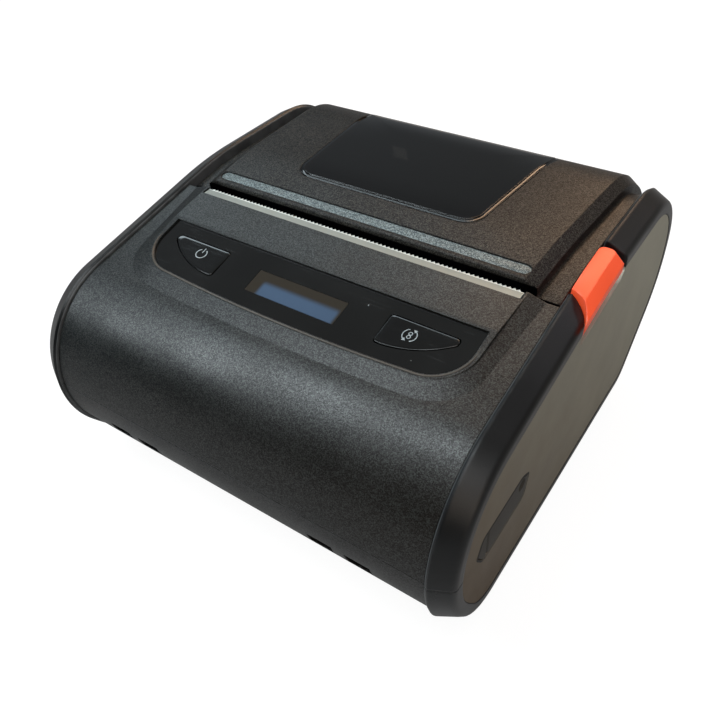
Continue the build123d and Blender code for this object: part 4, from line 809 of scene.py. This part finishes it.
class Looks(Enum):
    """The finishes of the printer, by what each surface is made of."""

    # Black ABS with metal flake, fine spark-eroded texture: broad soft highlights with sparkle, and a warm
    # tint towards the right that is painted light
    CASING = FleckedAbs("abs_black_flake_textured", "121517", 0.38, grain_mm=0.25, grain_depth_mm=0.02,
                        edge_mm=0.35, warm="1a1613", fleck="2e302d", fleck_share=0.5)
    # The cover is the same resin with a little more flake, and sparkles less; it also carries the right
    # side's painted warm light, and painted shade on the paper slot's wall
    COVER = LippedAbs("abs_black_flake_cover", "121416", 0.38, grain_mm=0.25, grain_depth_mm=0.02,
                      edge_mm=0.35, warm="1a1512", fleck="3a362f", fleck_share=0.5, shine=(0.1, 0.5))
    # Lip of the bezel: brown grey, far lighter than the casing, a painted highlight that draws the thin light
    # line along the lip's crest; smoother than the grain round it
    BEAD = Finish("abs_black_lip_painted_highlight", "4c463f", 0.33, grain_mm=0.4, grain_depth_mm=0.01, edge_mm=0.05)
    # Pale blue grey sheet in the groove: a painted reflection of the light on the groove's slope, each fleck
    # sparkling by itself
    GROOVE_REFLECTION = FleckedAbs("groove_painted_reflection_blue_grey", "434d50", 0.40, metallic=0.2, grain_mm=0.25,
                       grain_depth_mm=0.03, edge_mm=0.08, fleck="8f9b9c", fleck_share=0.7)
    # Thermoplastic rubber over-moulded on the ends: satin, nearly black, greyer where it is rubbed, and pale
    # on the inner walls with dust and painted light
    CAP = DustAndPaintedLightRubber("tpe_soft_touch_black", "0d0f11", 0.32, grain_mm=0.3, grain_depth_mm=0.012,
                      edge_mm=0.8, edge_colour="2c2e2e")
    # Matt vapour-blasted ABS insert: dull brown with no highlight, painted paler and greyer towards the upper
    # rear as light and reflection
    SIDE = PaintedLightAbs("abs_matt_brown_painted_light", "5f4e3e", 0.62, grain_mm=0.25, grain_depth_mm=0.016,
                      edge_mm=0.25, mottle=0.06)
    # Screen-printed acrylic film: deep gloss that mirrors the room with hardly a ripple
    OVERLAY = PianoBlack("acrylic_film_black", "141413", 0.09, grain_mm=6.0, grain_depth_mm=0.004,
                         edge_mm=0.03)
    # Polished ABS keys: as glossy as the film, a shade blacker
    KEY = PianoBlack("abs_polished_black_key", "0c0c0b", 0.11, grain_mm=6.0, grain_depth_mm=0.004,
                     edge_mm=0.02)
    # Smoked polycarbonate: a clean dark mirror with depth at its edge
    WINDOW = SmokedGlass("polycarbonate_smoked", "1b1a18", 0.04, ior=1.585, grain_mm=9.0,
                         grain_depth_mm=0.002, edge_mm=0.1, smudge=0.01)
    # Display cover bonded to its film, so the film's colours lie at the glass: glossy slate blue, with a
    # painted glow
    LENS = DisplayFilm("lcd_bonded_glass", "3a4a5e", 0.12, grain_mm=9.0, grain_depth_mm=0.001,
                       edge_mm=0.02, mottle=0.06, smudge=0.01)
    # Dark plastic carrier of the display: plain, out of sight under the glass
    DISPLAY = Finish("lcd_module_frame", "26282b", 0.4, edge_mm=0.1)
    # Screen-printing ink: flat pale grey without gloss
    INK = Finish("screen_print_pale_grey", "99a2a6", 0.55, grain_mm=0.2, grain_depth_mm=0.003, edge_mm=0.02)
    # Smoked polystyrene pipe of the status light, unlit: a black dot in the film's gloss
    LIGHT_PIPE = PianoBlack("polystyrene_light_pipe_smoked", "161615", 0.12, edge_mm=0.03)
    # ABS moulded in a daylight pigment: satin orange that pales at its rubbed edges, with a painted glow
    ORANGE = DayGlow("abs_satin_orange", "ff5c34", 0.36, grain_mm=0.35, grain_depth_mm=0.006,
                     edge_mm=0.5, mottle=0.06, edge_colour="ff9a7c")
    # Ground stainless steel: a soft grey shine drawn out along its length
    STEEL = BrushedMetal("stainless_steel_ground", "a4a8a2", 0.5, metallic=0.7, edge_mm=0.06,
                         grain_depth_mm=0.01)
    # Stamped stainless strip: soft grey, with a white line along its ground teeth that is a painted highlight
    TEAR_STRIP = GroundStrip("stainless_steel_tear_strip", "a4a8a2", 0.5, metallic=0.7, edge_mm=0.03,
                             grain_depth_mm=0.01)
    # Black band round the flap: painted shadow of its recess edge, which draws the flap's outline
    FLAP_SHADOW = Finish("flap_recess_painted_shadow", "0a0a0a", 0.6, grain_mm=0.3, grain_depth_mm=0.006, edge_mm=0.02)
    # Zinc-plated steel of the frame, socket and screws: cool grey with a short soft shine
    ZINC = BrushedMetal("steel_zinc_plated", "a9abaa", 0.38, metallic=1.0, edge_mm=0.12,
                        grain_depth_mm=0.004, line_mm=0.3)
    # Extruded aluminium of the heat sink: paler, with lines along the extrusion
    ALUMINIUM = BrushedMetal("aluminium_extruded", "bcbdc0", 0.34, metallic=1.0, edge_mm=0.15,
                             grain_depth_mm=0.006, line_mm=0.25)
    # Nickel-plated motor can: smooth grey metal
    MOTOR_CAN = Finish("steel_can_nickel", "8e8f92", 0.32, metallic=1.0, grain_mm=1.2, grain_depth_mm=0.004)
    # Plain black ABS of the inner mouldings: dull and even
    INNER = Finish("abs_black_plain", "222325", 0.55, grain_mm=0.4, grain_depth_mm=0.02, edge_mm=0.3)
    # Glass-epoxy board under solder mask: green satin
    BOARD = CircuitBoard("glass_epoxy_green", "0f4d2b", 0.38, grain_mm=0.8, grain_depth_mm=0.01, edge_mm=0.1)
    # Epoxy packages: dull black with a fine grit
    CHIPS = Finish("epoxy_package_black", "1c1c1e", 0.5, grain_mm=0.15, grain_depth_mm=0.004, edge_mm=0.12)
    # Moulded acetal of the gears and bushes: waxy off-white
    ACETAL = Finish("acetal_white", "dedbd0", 0.4, grain_mm=0.9, grain_depth_mm=0.005, edge_mm=0.08)
    # Glazed ceramic of the print head: smooth and shiny, the colour of sand
    CERAMIC = Finish("glazed_ceramic_head", "b9b19c", 0.2, grain_mm=2.0, grain_depth_mm=0.002, edge_mm=0.08)
    # Ground silicone rubber of the platen: dark grey without shine
    ROLLER = Finish("silicone_rubber_ground", "2a2a2b", 0.75, grain_mm=0.3, grain_depth_mm=0.02, edge_mm=0.2)
    # Nitrile rubber feet: matt and slightly rough
    FEET = Finish("nitrile_rubber_feet", "202122", 0.8, grain_mm=0.4, grain_depth_mm=0.03, edge_mm=0.4)
    # Shrink wrap of the battery: blue black film with soft waves
    WRAP = Finish("pvc_shrink_wrap_blue_black", "1d2638", 0.32, grain_mm=4.0, grain_depth_mm=0.05,
                  edge_mm=0.3)
    # Rubber of the port flap: brown black, duller than the caps
    FLAP = Finish("tpe_flap_dark", "35322c", 0.55, grain_mm=0.3, grain_depth_mm=0.01, edge_mm=0.2)

    def material(self) -> bpy.types.Material:
        """Material of this finish."""
        return self.value.build()


# Camera, light and floor


@dataclass(frozen=True)
class Lamp:
    """Rectangular soft lamp that faces the printer, with lengths in metres and power in watts.

    Its height follows the direction given as along, as nearly as it can.
    """

    name: str
    place: tuple
    width: float
    height: float
    watts: float
    colour: str
    along: tuple = (0.0, 0.0, 1.0)
    aim: tuple = (0.0, 0.0, 0.03)

    def hang(self) -> None:
        """Adds the lamp to the scene and turns it towards its aim."""
        data = bpy.data.lights.new(self.name, "AREA")
        data.shape = "RECTANGLE"
        data.size, data.size_y = self.width, self.height
        data.energy = self.watts
        data.color = linear(self.colour)[:3]
        lamp = bpy.data.objects.new(self.name, data)
        bpy.context.scene.collection.objects.link(lamp)
        away = (Vector(self.place) - Vector(self.aim)).normalized()
        across = Vector(self.along).cross(away).normalized()
        turned = Matrix((across, away.cross(across), away)).transposed().to_4x4()
        turned.translation = Vector(self.place)
        lamp.matrix_world = turned


@dataclass
class Studio:
    """Plain pale floor, soft lamps, and the camera at the photograph's place.

    The camera's axes were solved from the photograph: right and down in the picture, and ahead. The
    strips and warm lamps stand where the shoulder, deck and cover mirror them to the camera.
    """

    eye_mm: tuple = (83.53, -116.71, 144.07)
    right: tuple = (0.82495491, 0.56257078, -0.05443826)
    down: tuple = (0.34565712, -0.57837535, -0.73892023)
    ahead: tuple = (-0.44718068, 0.5907589, -0.67159018)
    focal_px: float = 743.49
    frame_px: float = 720.0
    sensor_mm: float = 36.0
    clip_m: tuple = (0.01, 20.0)
    floor_m: float = 6.0
    floor_tone: str = "707070"
    floor_white: float = 0.92
    floor_mirrored: float = 0.2
    sky_left: str = "b9c3cc"
    sky_right: str = "c9bfb2"
    sky_side_span: tuple = (-0.8, 0.8)
    sky_depth_span: tuple = (-0.7, 0.7)
    sky_strength: tuple = (0.07, 0.34)
    lamps: tuple = (
        Lamp("strip_front_left", (-0.22, -0.165, 0.446), 0.12, 0.54, 1.75, "eefaff", (-0.36, -0.325, -0.328)),
        Lamp("strip_rear_left", (-0.44, 0.375, 0.60), 0.14, 0.56, 0.75, "e6f8ff", (0.27, 0.11, 0.12)),
        Lamp("left_cool", (-0.45, -0.07, 0.62), 0.12, 0.20, 0.3, "e6f6ff", (1.0, 0.0, 0.0)),
        Lamp("rear_warm", (-0.067, 0.612, 0.563), 0.20, 0.55, 1.85, "ffd4ac", (-0.227, -0.34, 0.37)),
        Lamp("rear_right_faint", (0.34, 0.53, 0.635), 0.20, 0.30, 0.35, "e8e6f0", (1.0, 0.0, 0.0)),
        Lamp("top_soft", (0.35, -0.45, 1.10), 0.80, 0.80, 5.0, "ffffff"),
        Lamp("side_right_warm", (0.62, -0.42, 0.36), 0.40, 0.35, 0.7, "ffeedd"),
    )

    def build(self) -> None:
        """Sets up the camera first, then the world, floor and lamps."""
        self.camera()
        self.world()
        self.floor()
        for lamp in self.lamps:
            lamp.hang()
        bpy.context.scene.view_settings.view_transform = "Standard"

    def camera(self) -> None:
        """Camera whose axes are the right, up and backward directions found from the photograph."""
        data = bpy.data.cameras.new("camera")
        data.sensor_width = self.sensor_mm
        data.lens = self.focal_px / self.frame_px * self.sensor_mm
        data.clip_start, data.clip_end = self.clip_m
        camera = bpy.data.objects.new("camera", data)
        bpy.context.scene.collection.objects.link(camera)
        axes = np.array([self.right, -np.array(self.down), -np.array(self.ahead)]).T
        matrix = Matrix(axes.tolist()).to_4x4()
        matrix.translation = Vector(self.eye_mm) * MM
        camera.matrix_world = matrix
        bpy.context.scene.camera = camera

    def world(self) -> None:
        """Soft surroundings, cooler on the left and brighter behind, which the camera sees as white."""
        world = bpy.data.worlds.new("world")
        bpy.context.scene.world = world
        world.use_nodes = True
        world.node_tree.nodes.clear()
        graph = Graph(world.node_tree)
        axes = graph.add("SeparateXYZ", [graph.add("TexCoord").outputs["Generated"]]).outputs
        side = graph.add("MapRange", [axes["X"], *self.sky_side_span]).outputs["Result"]
        depth = graph.add("MapRange", [axes["Y"], *self.sky_depth_span, *self.sky_strength]).outputs["Result"]
        tones = {0: side, 6: linear(self.sky_left), 7: linear(self.sky_right)}
        tint = graph.add("Mix", tones, data_type="RGBA").outputs[2]
        seen = graph.add("LightPath").outputs["Is Camera Ray"]
        soft = graph.add("Background", {"Color": tint, "Strength": depth}).outputs[0]
        white = graph.add("Background", {"Color": WHITE, "Strength": 1.0}).outputs[0]
        graph.add("OutputWorld", [graph.add("MixShader", [seen, soft, white]).outputs[0]])

    def floor(self) -> None:
        """Pale floor under the feet: nearly white to the camera, and a fifth of that in reflections."""
        half = self.floor_m / 2 / MM
        points = np.array([(-half, -half, 0), (half, -half, 0), (half, half, 0), (-half, half, 0)], float)
        floor = make_piece("floor", points, np.array([[0, 1, 2, 3]]), flat=True)
        material, graph, shader = blank_material("studio_floor_paper")
        rays = graph.add("LightPath").outputs
        direct = [rays["Is Camera Ray"], rays["Is Transmission Ray"]]
        seen = graph.add("Math", direct, operation="MAXIMUM").outputs["Value"]
        white = graph.add("Math", [seen, self.floor_white], operation="MULTIPLY").outputs["Value"]
        mirror = [rays["Is Glossy Ray"], self.floor_mirrored]
        mirrored = graph.add("Math", mirror, operation="MULTIPLY").outputs["Value"]
        glow = graph.add("Math", [white, mirrored], operation="ADD").outputs["Value"]
        paper = {"Base Color": linear(self.floor_tone), "Roughness": 0.9, "Specular IOR Level": 0.0}
        graph.feed(shader, {**paper, "Emission Color": WHITE, "Emission Strength": glow})
        floor.data.materials.append(material)


# Sub-assemblies


@dataclass
class Casing:
    """Both casing halves, the soft end caps, the side panels and the port flap.

    The flap's outline is Y, Z and radius of each corner. The rings of the painted shadow round
    the flap are each so far outside that outline and so high over the side panel.
    """

    flap_outline: tuple = (
        (-44.2, 23.7, 2.0),
        (-27.6, 24.1, 1.8),
        (-26.2, 29.4, 1.0),
        (-29.2, 31.0, 2.2),
        (-44.9, 30.5, 1.6),
        (-46.7, 27.1, 0.8),
    )
    corner_steps: int = 12
    side_face_x: float = 53.7
    shadow_rings: tuple = ((0.7, 0.005), (0.5, 0.05), (0.26, 0.02))

    def build(self) -> None:
        """Dresses the CAD nodes, and paints the shadow round the flap."""
        dress(Looks.CASING, "upper_casing", "lower_casing")
        for side in ("left", "right"):
            dress(Looks.CAP, f"{side}_end_cap_upper", f"{side}_end_cap_lower")
            dress(Looks.SIDE, f"{side}_side_panel")
        dress(Looks.FLAP, "port_flap", "flap_anchor")
        self.flap_shadow()

    def flap_shadow(self) -> None:
        """Painted shadow on the side panel, a black band for the shade in the flap's recess: rings round the
        flap's outline, each moved outwards and up.
        """
        loop, normal = rounded_loop(self.flap_outline, self.corner_steps)
        rings = [
            np.column_stack([np.full(len(loop), self.side_face_x + rise), loop + normal * out])
            for out, rise in self.shadow_rings
        ]
        piece = make_piece("flap_shadow", np.stack(rings), grid_faces(len(rings), len(loop)))
        place_piece(piece, "housing", "shell", Looks.FLAP_SHADOW)


@dataclass
class ControlPanel:
    """Sloping panel with its overlay, two keys with printed marks, display and status light.

    Corners and centres are x along the panel and y up its slope, from the middle of its top edge.
    """

    top_y: float = -19.15
    top_z: float = 54.0
    tilt_deg: float = 13.0
    half: float = 40.0
    side: float = 13.0
    length: float = 14.8
    corner: float = 8.5
    key_corners: tuple = (
        (21.0, -10.8, 0.7),
        (29.75, -10.8, 20.2),
        (36.2, -4.9, 1.0),
        (36.2, -3.5, 0.95),
        (21.0, -3.5, 0.7),
    )
    key_proud: float = 0.25
    key_depth: float = 3.75
    key_edge: float = 0.13
    key_slope: float = 0.035
    print_lift: float = 0.012
    power_centre: tuple = (-27.4, -6.4)
    power_ring: tuple = (1.18, 1.42)
    power_turn: tuple = (122, 418)
    power_bar: tuple = (0.3, 1.7)
    power_bar_width: float = 0.24
    feed_centre: tuple = (26.8, -6.7)
    feed_ring: tuple = (1.36, 1.56)
    feed_turn: tuple = (115, 235)
    arrow_tip_deg: float = 262
    arrow_radii: tuple = (1.46, 1.5)
    arrow_widths: tuple = (0.8, 0.05)
    roll_ring: tuple = (0.28, 0.46)
    roll_step: float = 0.42
    light_place: tuple = (15.4, -3.5)
    light_ring: tuple = (0.005, 0.11)
    bead_out: float = 0.5
    bead_height: float = 0.4
    bead_radius: float = 0.22
    bead_top: float = -0.3
    bead_taper: int = 3
    bead_steps: int = 9
    corner_steps: int = 14
    key_rings: int = 6
    arc_steps: int = 40
    small_arc_steps: int = 24
    speck_steps: int = 20
    side_steps: int = 16
    bow_steps: int = 60

    def build(self) -> None:
        """Makes the keys, their marks and the bead, and dresses the rest."""
        self.bezel_bead()
        self.speck()
        self.key("power_key_cap", "power_button", "power_key", mirrored=True)
        self.key("feed_key_cap", "feed_button", "feed_key")
        self.power_mark()
        self.feed_mark()
        dress(Looks.OVERLAY, "control_panel")
        dress(Looks.LENS, "display_lens")
        dress(Looks.DISPLAY, "display_module")
        dress(Looks.LIGHT_PIPE, "status_light")
        dress(Looks.BOARD, "key_board")
        dress(Looks.ZINC, "key_board_screws")
        dress(Looks.CHIPS, "tact_switches")
        dress(Looks.TEAR_STRIP, "tear_bar")

    def place(self, local: np.ndarray) -> np.ndarray:
        """Moves panel coordinates into the part's frame.

        A point is the panel's top edge plus y up the slope plus height along the slope's normal.

        Args:
            local: Rows of x, y up the slope and height over the panel.

        Returns:
            Rows of x, y and z.
        """
        tilt = math.radians(self.tilt_deg)
        x, y, h = np.moveaxis(local, -1, 0)
        across = self.top_y + y * math.cos(tilt) - h * math.sin(tilt)
        up = self.top_z + y * math.sin(tilt) + h * math.cos(tilt)
        return np.stack([x, across, up], -1)

    def key(self, name: str, body: str, node: str, mirrored: bool = False) -> None:
        """Key as a slab with an eased edge over the key's outline, whose top falls by key_slope.

        Args:
            name: Name of the piece.
            body: Body that it moves with.
            node: CAD node that it stands for.
            mirrored: True for the left key.
        """
        corners = self.key_corners
        if mirrored:
            corners = tuple((-x, y, r) for x, y, r in reversed(corners))
        loop, normal = rounded_loop(corners, self.corner_steps)
        profile = rounded_edge(self.key_proud, self.key_edge, -self.key_depth)
        surface = slab_surface(loop, normal, profile, self.key_rings)
        fall = self.key_slope * (surface[..., 1] - self.key_corners[0][1])
        surface[..., 2] -= np.where(surface[..., 2] > -self.key_depth / 2, fall, 0)
        piece = make_piece(name, self.place(surface), grid_faces(len(surface), len(loop)))
        place_piece(piece, body, "panel", Looks.KEY, node)

    def band(self, centre: tuple, radii: tuple, turn: tuple, steps: int) -> np.ndarray:
        """Flat arc of ink: the point at angle a and radius r, for a through the turn and both radii.

        Args:
            centre: Centre of the arc on the panel.
            radii: Inner and outer radius.
            turn: First and last angle in degrees.
            steps: Points along the arc.

        Returns:
            Two rows of points in panel coordinates.
        """
        angle = np.radians(np.linspace(*turn, steps))[None, :]
        radius = np.array(radii[::-1])[:, None]
        x = centre[0] + radius * np.cos(angle)
        y = centre[1] + radius * np.sin(angle)
        return np.stack([x, y, self.key_top(y)], -1)

    def strip(self, start: tuple, end: tuple, widths: tuple) -> np.ndarray:
        """Flat straight bar of ink: each end's point less and plus half its width across the bar.

        Args:
            start: Middle of the first end.
            end: Middle of the last end.
            widths: Width at each end.

        Returns:
            Two rows of points in panel coordinates.
        """
        line = np.array([start, end], float)
        x, y = (line[1] - line[0]) / np.linalg.norm(line[1] - line[0])
        half = np.array(widths)[:, None] / 2 * np.array([-y, x])
        rows = np.stack([line - half, line + half])
        return np.concatenate([rows, self.key_top(rows[..., 1:2])], -1)

    def key_top(self, y: np.ndarray) -> np.ndarray:
        """Height at which ink lies on a key: its top falls by key_slope up the panel."""
        return self.key_proud + self.print_lift - self.key_slope * (y - self.key_corners[0][1])

    def mark(self, name: str, body: str, parts: list[np.ndarray]) -> None:
        """Joins flat bands of ink into one printed mark that moves with its key.

        Args:
            name: Name of the piece.
            body: Body that it moves with.
            parts: Two rows of points for each band.
        """
        faces, base = [], 0
        for part in parts:
            faces.append(grid_faces(*part.shape[:2], closed=False) + base)
            base += part.shape[0] * part.shape[1]
        points = np.concatenate([part.reshape(-1, 3) for part in parts])
        piece = make_piece(name, self.place(points), np.concatenate(faces), flat=True)
        place_piece(piece, body, "white", Looks.INK)

    def power_mark(self) -> None:
        """Power symbol: an open ring with a bar in its gap."""
        x, y = self.power_centre
        low, high = self.power_bar
        ring = self.band((x, y), self.power_ring, self.power_turn, self.arc_steps)
        bar = self.strip((x, y + low), (x, y + high), (self.power_bar_width, self.power_bar_width))
        self.mark("power_mark", "power_button", [ring, bar])

    def feed_mark(self) -> None:
        """Paper feed symbol: two curved arrows round two small rings."""
        x, y = self.feed_centre
        parts = []
        for turn in (0, 180):
            first, last = (angle + turn for angle in self.feed_turn)
            parts.append(self.band((x, y), self.feed_ring, (first, last), self.arc_steps))
            head = [
                (x + radius * math.cos(angle), y + radius * math.sin(angle))
                for radius, angle in zip(self.arrow_radii, np.radians([last, self.arrow_tip_deg + turn]))
            ]
            parts.append(self.strip(*head, self.arrow_widths))
        for step in (-self.roll_step, self.roll_step):
            parts.append(self.band((x, y + step), self.roll_ring, (0, 360), self.small_arc_steps))
        self.mark("feed_mark", "feed_button", parts)

    def bowed_path(self, grow: float) -> np.ndarray:
        """Line round the panel's sides and bowed lower edge, from its left top to its right top.

        The bow is a circle through three points of the edge; each lower corner is a circle that
        touches the side and lies inside the bow, so its centre is bow radius less corner radius
        from the bow's centre.

        Args:
            grow: How far outside the panel's own outline the line runs.

        Returns:
            Rows of x and y on the panel.
        """
        sag = self.length - self.side
        bow = (self.half**2 + sag**2) / (2 * sag)
        middle_y = -self.length + bow
        x = self.half - self.corner
        y = middle_y - math.sqrt((bow - self.corner) ** 2 - x**2)
        lean = math.atan2(y - middle_y, x)
        turn = np.linspace(0, lean, self.side_steps)
        reach = self.corner + grow
        right = np.stack([x + reach * np.cos(turn), y + reach * np.sin(turn)], -1)
        sweep = np.linspace(lean, -math.pi - lean, self.bow_steps)[1:-1]
        low = np.stack([(bow + grow) * np.cos(sweep), middle_y + (bow + grow) * np.sin(sweep)], -1)
        top = np.array([[self.half + grow, self.bead_top]])
        return np.concatenate([top, right, low, right[::-1] * (-1, 1), top * (-1, 1)])[::-1]

    def bezel_bead(self) -> None:
        """Rolled lip of the bezel: a half-round profile carried along the panel's bowed edge.

        A point is the path's, plus bead_radius times the cosine outwards and the sine up; the
        radius grows from nought over the first points and shrinks over the last.
        """
        path = self.bowed_path(self.bead_out)
        along = np.gradient(path, axis=0)
        along /= np.linalg.norm(along, axis=1, keepdims=True)
        outward = np.stack([along[:, 1], -along[:, 0]], -1)
        turn = np.linspace(0, math.pi, self.bead_steps)[None]
        count = np.arange(len(path))
        radius = self.bead_radius * np.clip(np.minimum(count, count[::-1]) / self.bead_taper, 0, 1)[:, None]
        flat = path[:, None] + outward[:, None] * (radius * np.cos(turn))[..., None]
        up = radius * np.sin(turn) + self.bead_height
        surface = np.concatenate([flat, up[..., None]], -1)
        piece = make_piece("bezel_bead", self.place(surface), grid_faces(*up.shape, closed=False))
        place_piece(piece, "housing", "shell", Looks.BEAD)

    def speck(self) -> None:
        """Pale speck where the status light's pipe ends: a ring of ink with next to no hole."""
        ring = self.band(self.light_place, self.light_ring, (0, 360), self.speck_steps)
        ring[..., 2] = self.print_lift
        faces = grid_faces(*ring.shape[:2], closed=False)
        piece = make_piece("status_light_speck", self.place(ring), faces, flat=True)
        place_piece(piece, "housing", "white", Looks.INK)


@dataclass
class PaperCover:
    """Hinged cover with its smoked window and the platen that it carries.

    The outline is the printer's own from the side, as Y, Z and radius of each corner, and the
    window's corners are x, y and radius in plan. The steps of the pane and of the groove's painted
    reflection are the points on a corner, the steps from each point to the next, and the rings on the face.
    """

    outline: tuple = (
        (36.4, 2.3, 9.2),
        (56.3, 24.4, 24.8),
        (55.6, 57.9, 22.0),
        (4.6, 58.0, 96.0),
        (-53.2, 47.9, 23.4),
        (-59.3, 21.5, 25.8),
        (-46.5, 2.3, 16.0),
    )
    outline_steps: int = 60
    cover_rise: float = 1.3
    least_up: float = 0.02
    least_lean: float = 0.3
    window_corners: tuple = (
        (-24.2, 4.8, 5.0),
        (24.2, 4.8, 5.0),
        (27.2, 44.6, 3.0),
        (-27.2, 44.6, 3.0),
    )
    window_proud: float = 0.3
    window_thick: float = 1.7
    window_edge: float = 0.12
    rim: float = 0.06
    lip_width: float = 0.9
    lip_drop: float = 0.22
    rear_start: float = 41.5
    rear_fall: float = 0.045
    groove_y: float = -2.6
    groove_half: float = 40.4
    groove_width: float = 2.8
    groove_depth: float = 0.4
    reflection_gap: float = 0.03
    reflection_float: float = 0.01
    reflection_thick: float = 0.12
    reflection_edge: float = 0.1
    reflection_roundness: float = 0.99
    pane_steps: tuple = (16, 4, 14)
    reflection_steps: tuple = (14, 6, 4)

    def build(self) -> None:
        """Makes the pane and the groove's painted reflection, and dresses the cover and what hangs under it.
        """
        self.pane()
        self.groove_reflection()
        dress(Looks.COVER, "paper_cover")
        dress(Looks.INNER, "platen_holder")
        dress(Looks.ACETAL, "platen_bushes", "platen_gear")
        dress(Looks.ZINC, "holder_screws")
        dress(Looks.ROLLER, "platen_roller")
        dress(Looks.STEEL, "platen_shaft", "hinge_pins")

    def top(self, y: np.ndarray, stand: np.ndarray) -> np.ndarray:
        """Height of the end outline's upper side at y, moved outwards by stand.

        The height and the normal's lean are read between the outline's nearest points that face
        up, and the height grows by stand over the lean.

        Args:
            y: Places along the printer.
            stand: How far outside the outline.

        Returns:
            Heights at those places.
        """
        loop, normal = rounded_loop(self.outline, self.outline_steps)
        up = normal[:, 1] > self.least_up
        near = loop[up]
        order = np.argsort(near[:, 0])
        base = np.interp(y, near[order, 0], near[order, 1])
        lean = np.interp(y, near[order, 0], normal[up][order, 1])
        return base + stand / np.maximum(lean, self.least_lean)

    def bend(self, name: str, surface: np.ndarray, look: Looks, slot: str, *stands_for: str) -> None:
        """Makes a piece of a slab that is bent to the cover's curve: each height stands on the cover's top.

        Args:
            name: Name of the piece.
            surface: The slab's rings of x, y and height over the cover.
            look: Finish of the piece.
            slot: Material slot.
            *stands_for: Names of the CAD nodes that it replaces.
        """
        x, y, h = np.moveaxis(surface, -1, 0)
        points = np.stack([x, y, self.top(y, self.cover_rise + h)], -1)
        piece = make_piece(name, points, grid_faces(*surface.shape[:2]))
        place_piece(piece, "cover", slot, look, *stands_for)

    def pane(self) -> None:
        """Window pane: a slab with a lip and eased edges over the window's plan, whose rear end falls."""
        corner_steps, between, rings = self.pane_steps
        loop, normal = densify(*rounded_loop(self.window_corners, corner_steps), between)
        lip = self.window_proud - self.lip_drop
        low = rounded_edge(lip, self.window_edge, self.window_proud - self.window_thick)
        high = rounded_edge(self.window_proud, self.window_edge, lip)[1:]
        high[:, 0] += self.lip_width
        flat = [[self.window_edge + self.rim, lip], [self.lip_width - self.rim, lip]]
        face = [[self.lip_width + self.window_edge + self.rim, self.window_proud]]
        surface = slab_surface(loop, normal, np.concatenate([low, flat, high, face]), rings)
        fall = self.rear_fall * np.clip(surface[..., 1] - self.rear_start, 0, None) ** 2
        surface[..., 2] -= np.where(surface[..., 2] > -self.window_thick / 2, fall, 0)
        self.bend("window_pane", surface, Looks.WINDOW, "window", "cover_window")

    def groove_reflection(self) -> None:
        """Painted reflection in the cover's groove: a pale slot-shaped slab on the groove's floor, for the
        light that the groove's slope reflects.
        """
        half_width = self.groove_width / 2 - self.reflection_gap
        half_length = self.groove_half - self.reflection_gap
        corners = tuple(
            (x * half_length, self.groove_y + y * half_width, half_width * self.reflection_roundness)
            for x, y in ((-1, -1), (1, -1), (1, 1), (-1, 1))
        )
        corner_steps, between, rings = self.reflection_steps
        loop, normal = densify(*rounded_loop(corners, corner_steps), between)
        floor = -self.groove_depth
        edge = rounded_edge(floor + self.reflection_thick, self.reflection_edge, floor + self.reflection_float, rings)
        self.bend("groove_painted_reflection", slab_surface(loop, normal, edge, rings), Looks.GROOVE_REFLECTION, "shell")


@dataclass
class ReleaseSlide:
    """Orange slide in the right cap, with its return spring."""

    edge: float = 0.55
    edge_steps: int = 4
    edge_from_deg: float = 32
    merge_m: float = 1e-6
    flat_deg: float = 2

    def build(self) -> None:
        """Rounds a merged copy of the slide with a bevel, and dresses the spring."""
        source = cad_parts["release_slide"]
        piece = source.copy()
        piece.data = source.data.copy()
        piece.name = "release_slide_rounded"
        piece.parent = None
        for key in list(piece.keys()):
            del piece[key]
        bpy.context.scene.collection.objects.link(piece)
        place_piece(piece, "slide", "orange", Looks.ORANGE, "release_slide")
        self.clean(piece)
        bevel = piece.modifiers.new("eased_edges", "BEVEL")
        bevel.width = self.edge * MM
        bevel.segments = self.edge_steps
        bevel.limit_method = "ANGLE"
        bevel.angle_limit = math.radians(self.edge_from_deg)
        dress(Looks.STEEL, "slide_spring")

    def clean(self, piece: Piece) -> None:
        """Merges the copy's doubled points and joins its flat triangles.

        Args:
            piece: The copy.
        """
        mesh = bmesh.new()
        mesh.from_mesh(piece.data)
        bmesh.ops.remove_doubles(mesh, verts=mesh.verts, dist=self.merge_m)
        bmesh.ops.dissolve_limit(
            mesh,
            angle_limit=math.radians(self.flat_deg),
            verts=mesh.verts,
            edges=mesh.edges,
            delimit={"NORMAL"},
        )
        mesh.to_mesh(piece.data)
        mesh.free()


class Mechanism:
    """Print head, drive train, paper bin, boards, battery and fixings inside the casing."""

    def build(self) -> None:
        """Dresses the CAD nodes, whose shapes are right."""
        dress(Looks.ZINC, "mechanism_frame", "usb_socket", "door_screws", "casing_screws", "board_screws")
        dress(Looks.CERAMIC, "thermal_head")
        dress(Looks.ALUMINIUM, "head_heat_sink")
        dress(Looks.STEEL, "head_springs", "gear_stud")
        dress(Looks.MOTOR_CAN, "stepper_motor")
        dress(Looks.ACETAL, "motor_pinion", "reduction_gear")
        dress(Looks.INNER, "roll_bin", "battery_door")
        dress(Looks.CHIPS, "paper_sensor", "board_parts", "buzzer")
        dress(Looks.BOARD, "main_board")
        dress(Looks.WRAP, "battery_pack")
        dress(Looks.FEET, "rubber_feet")


def main() -> None:
    """Builds the studio and each sub-assembly in order."""
    logging.basicConfig(level=logging.INFO, format="%(message)s")
    for part in (Studio(), Casing(), ControlPanel(), PaperCover(), ReleaseSlide(), Mechanism()):
        part.build()
        LOG.info("%s built", type(part).__name__)


if __name__ == "__main__":
    main()
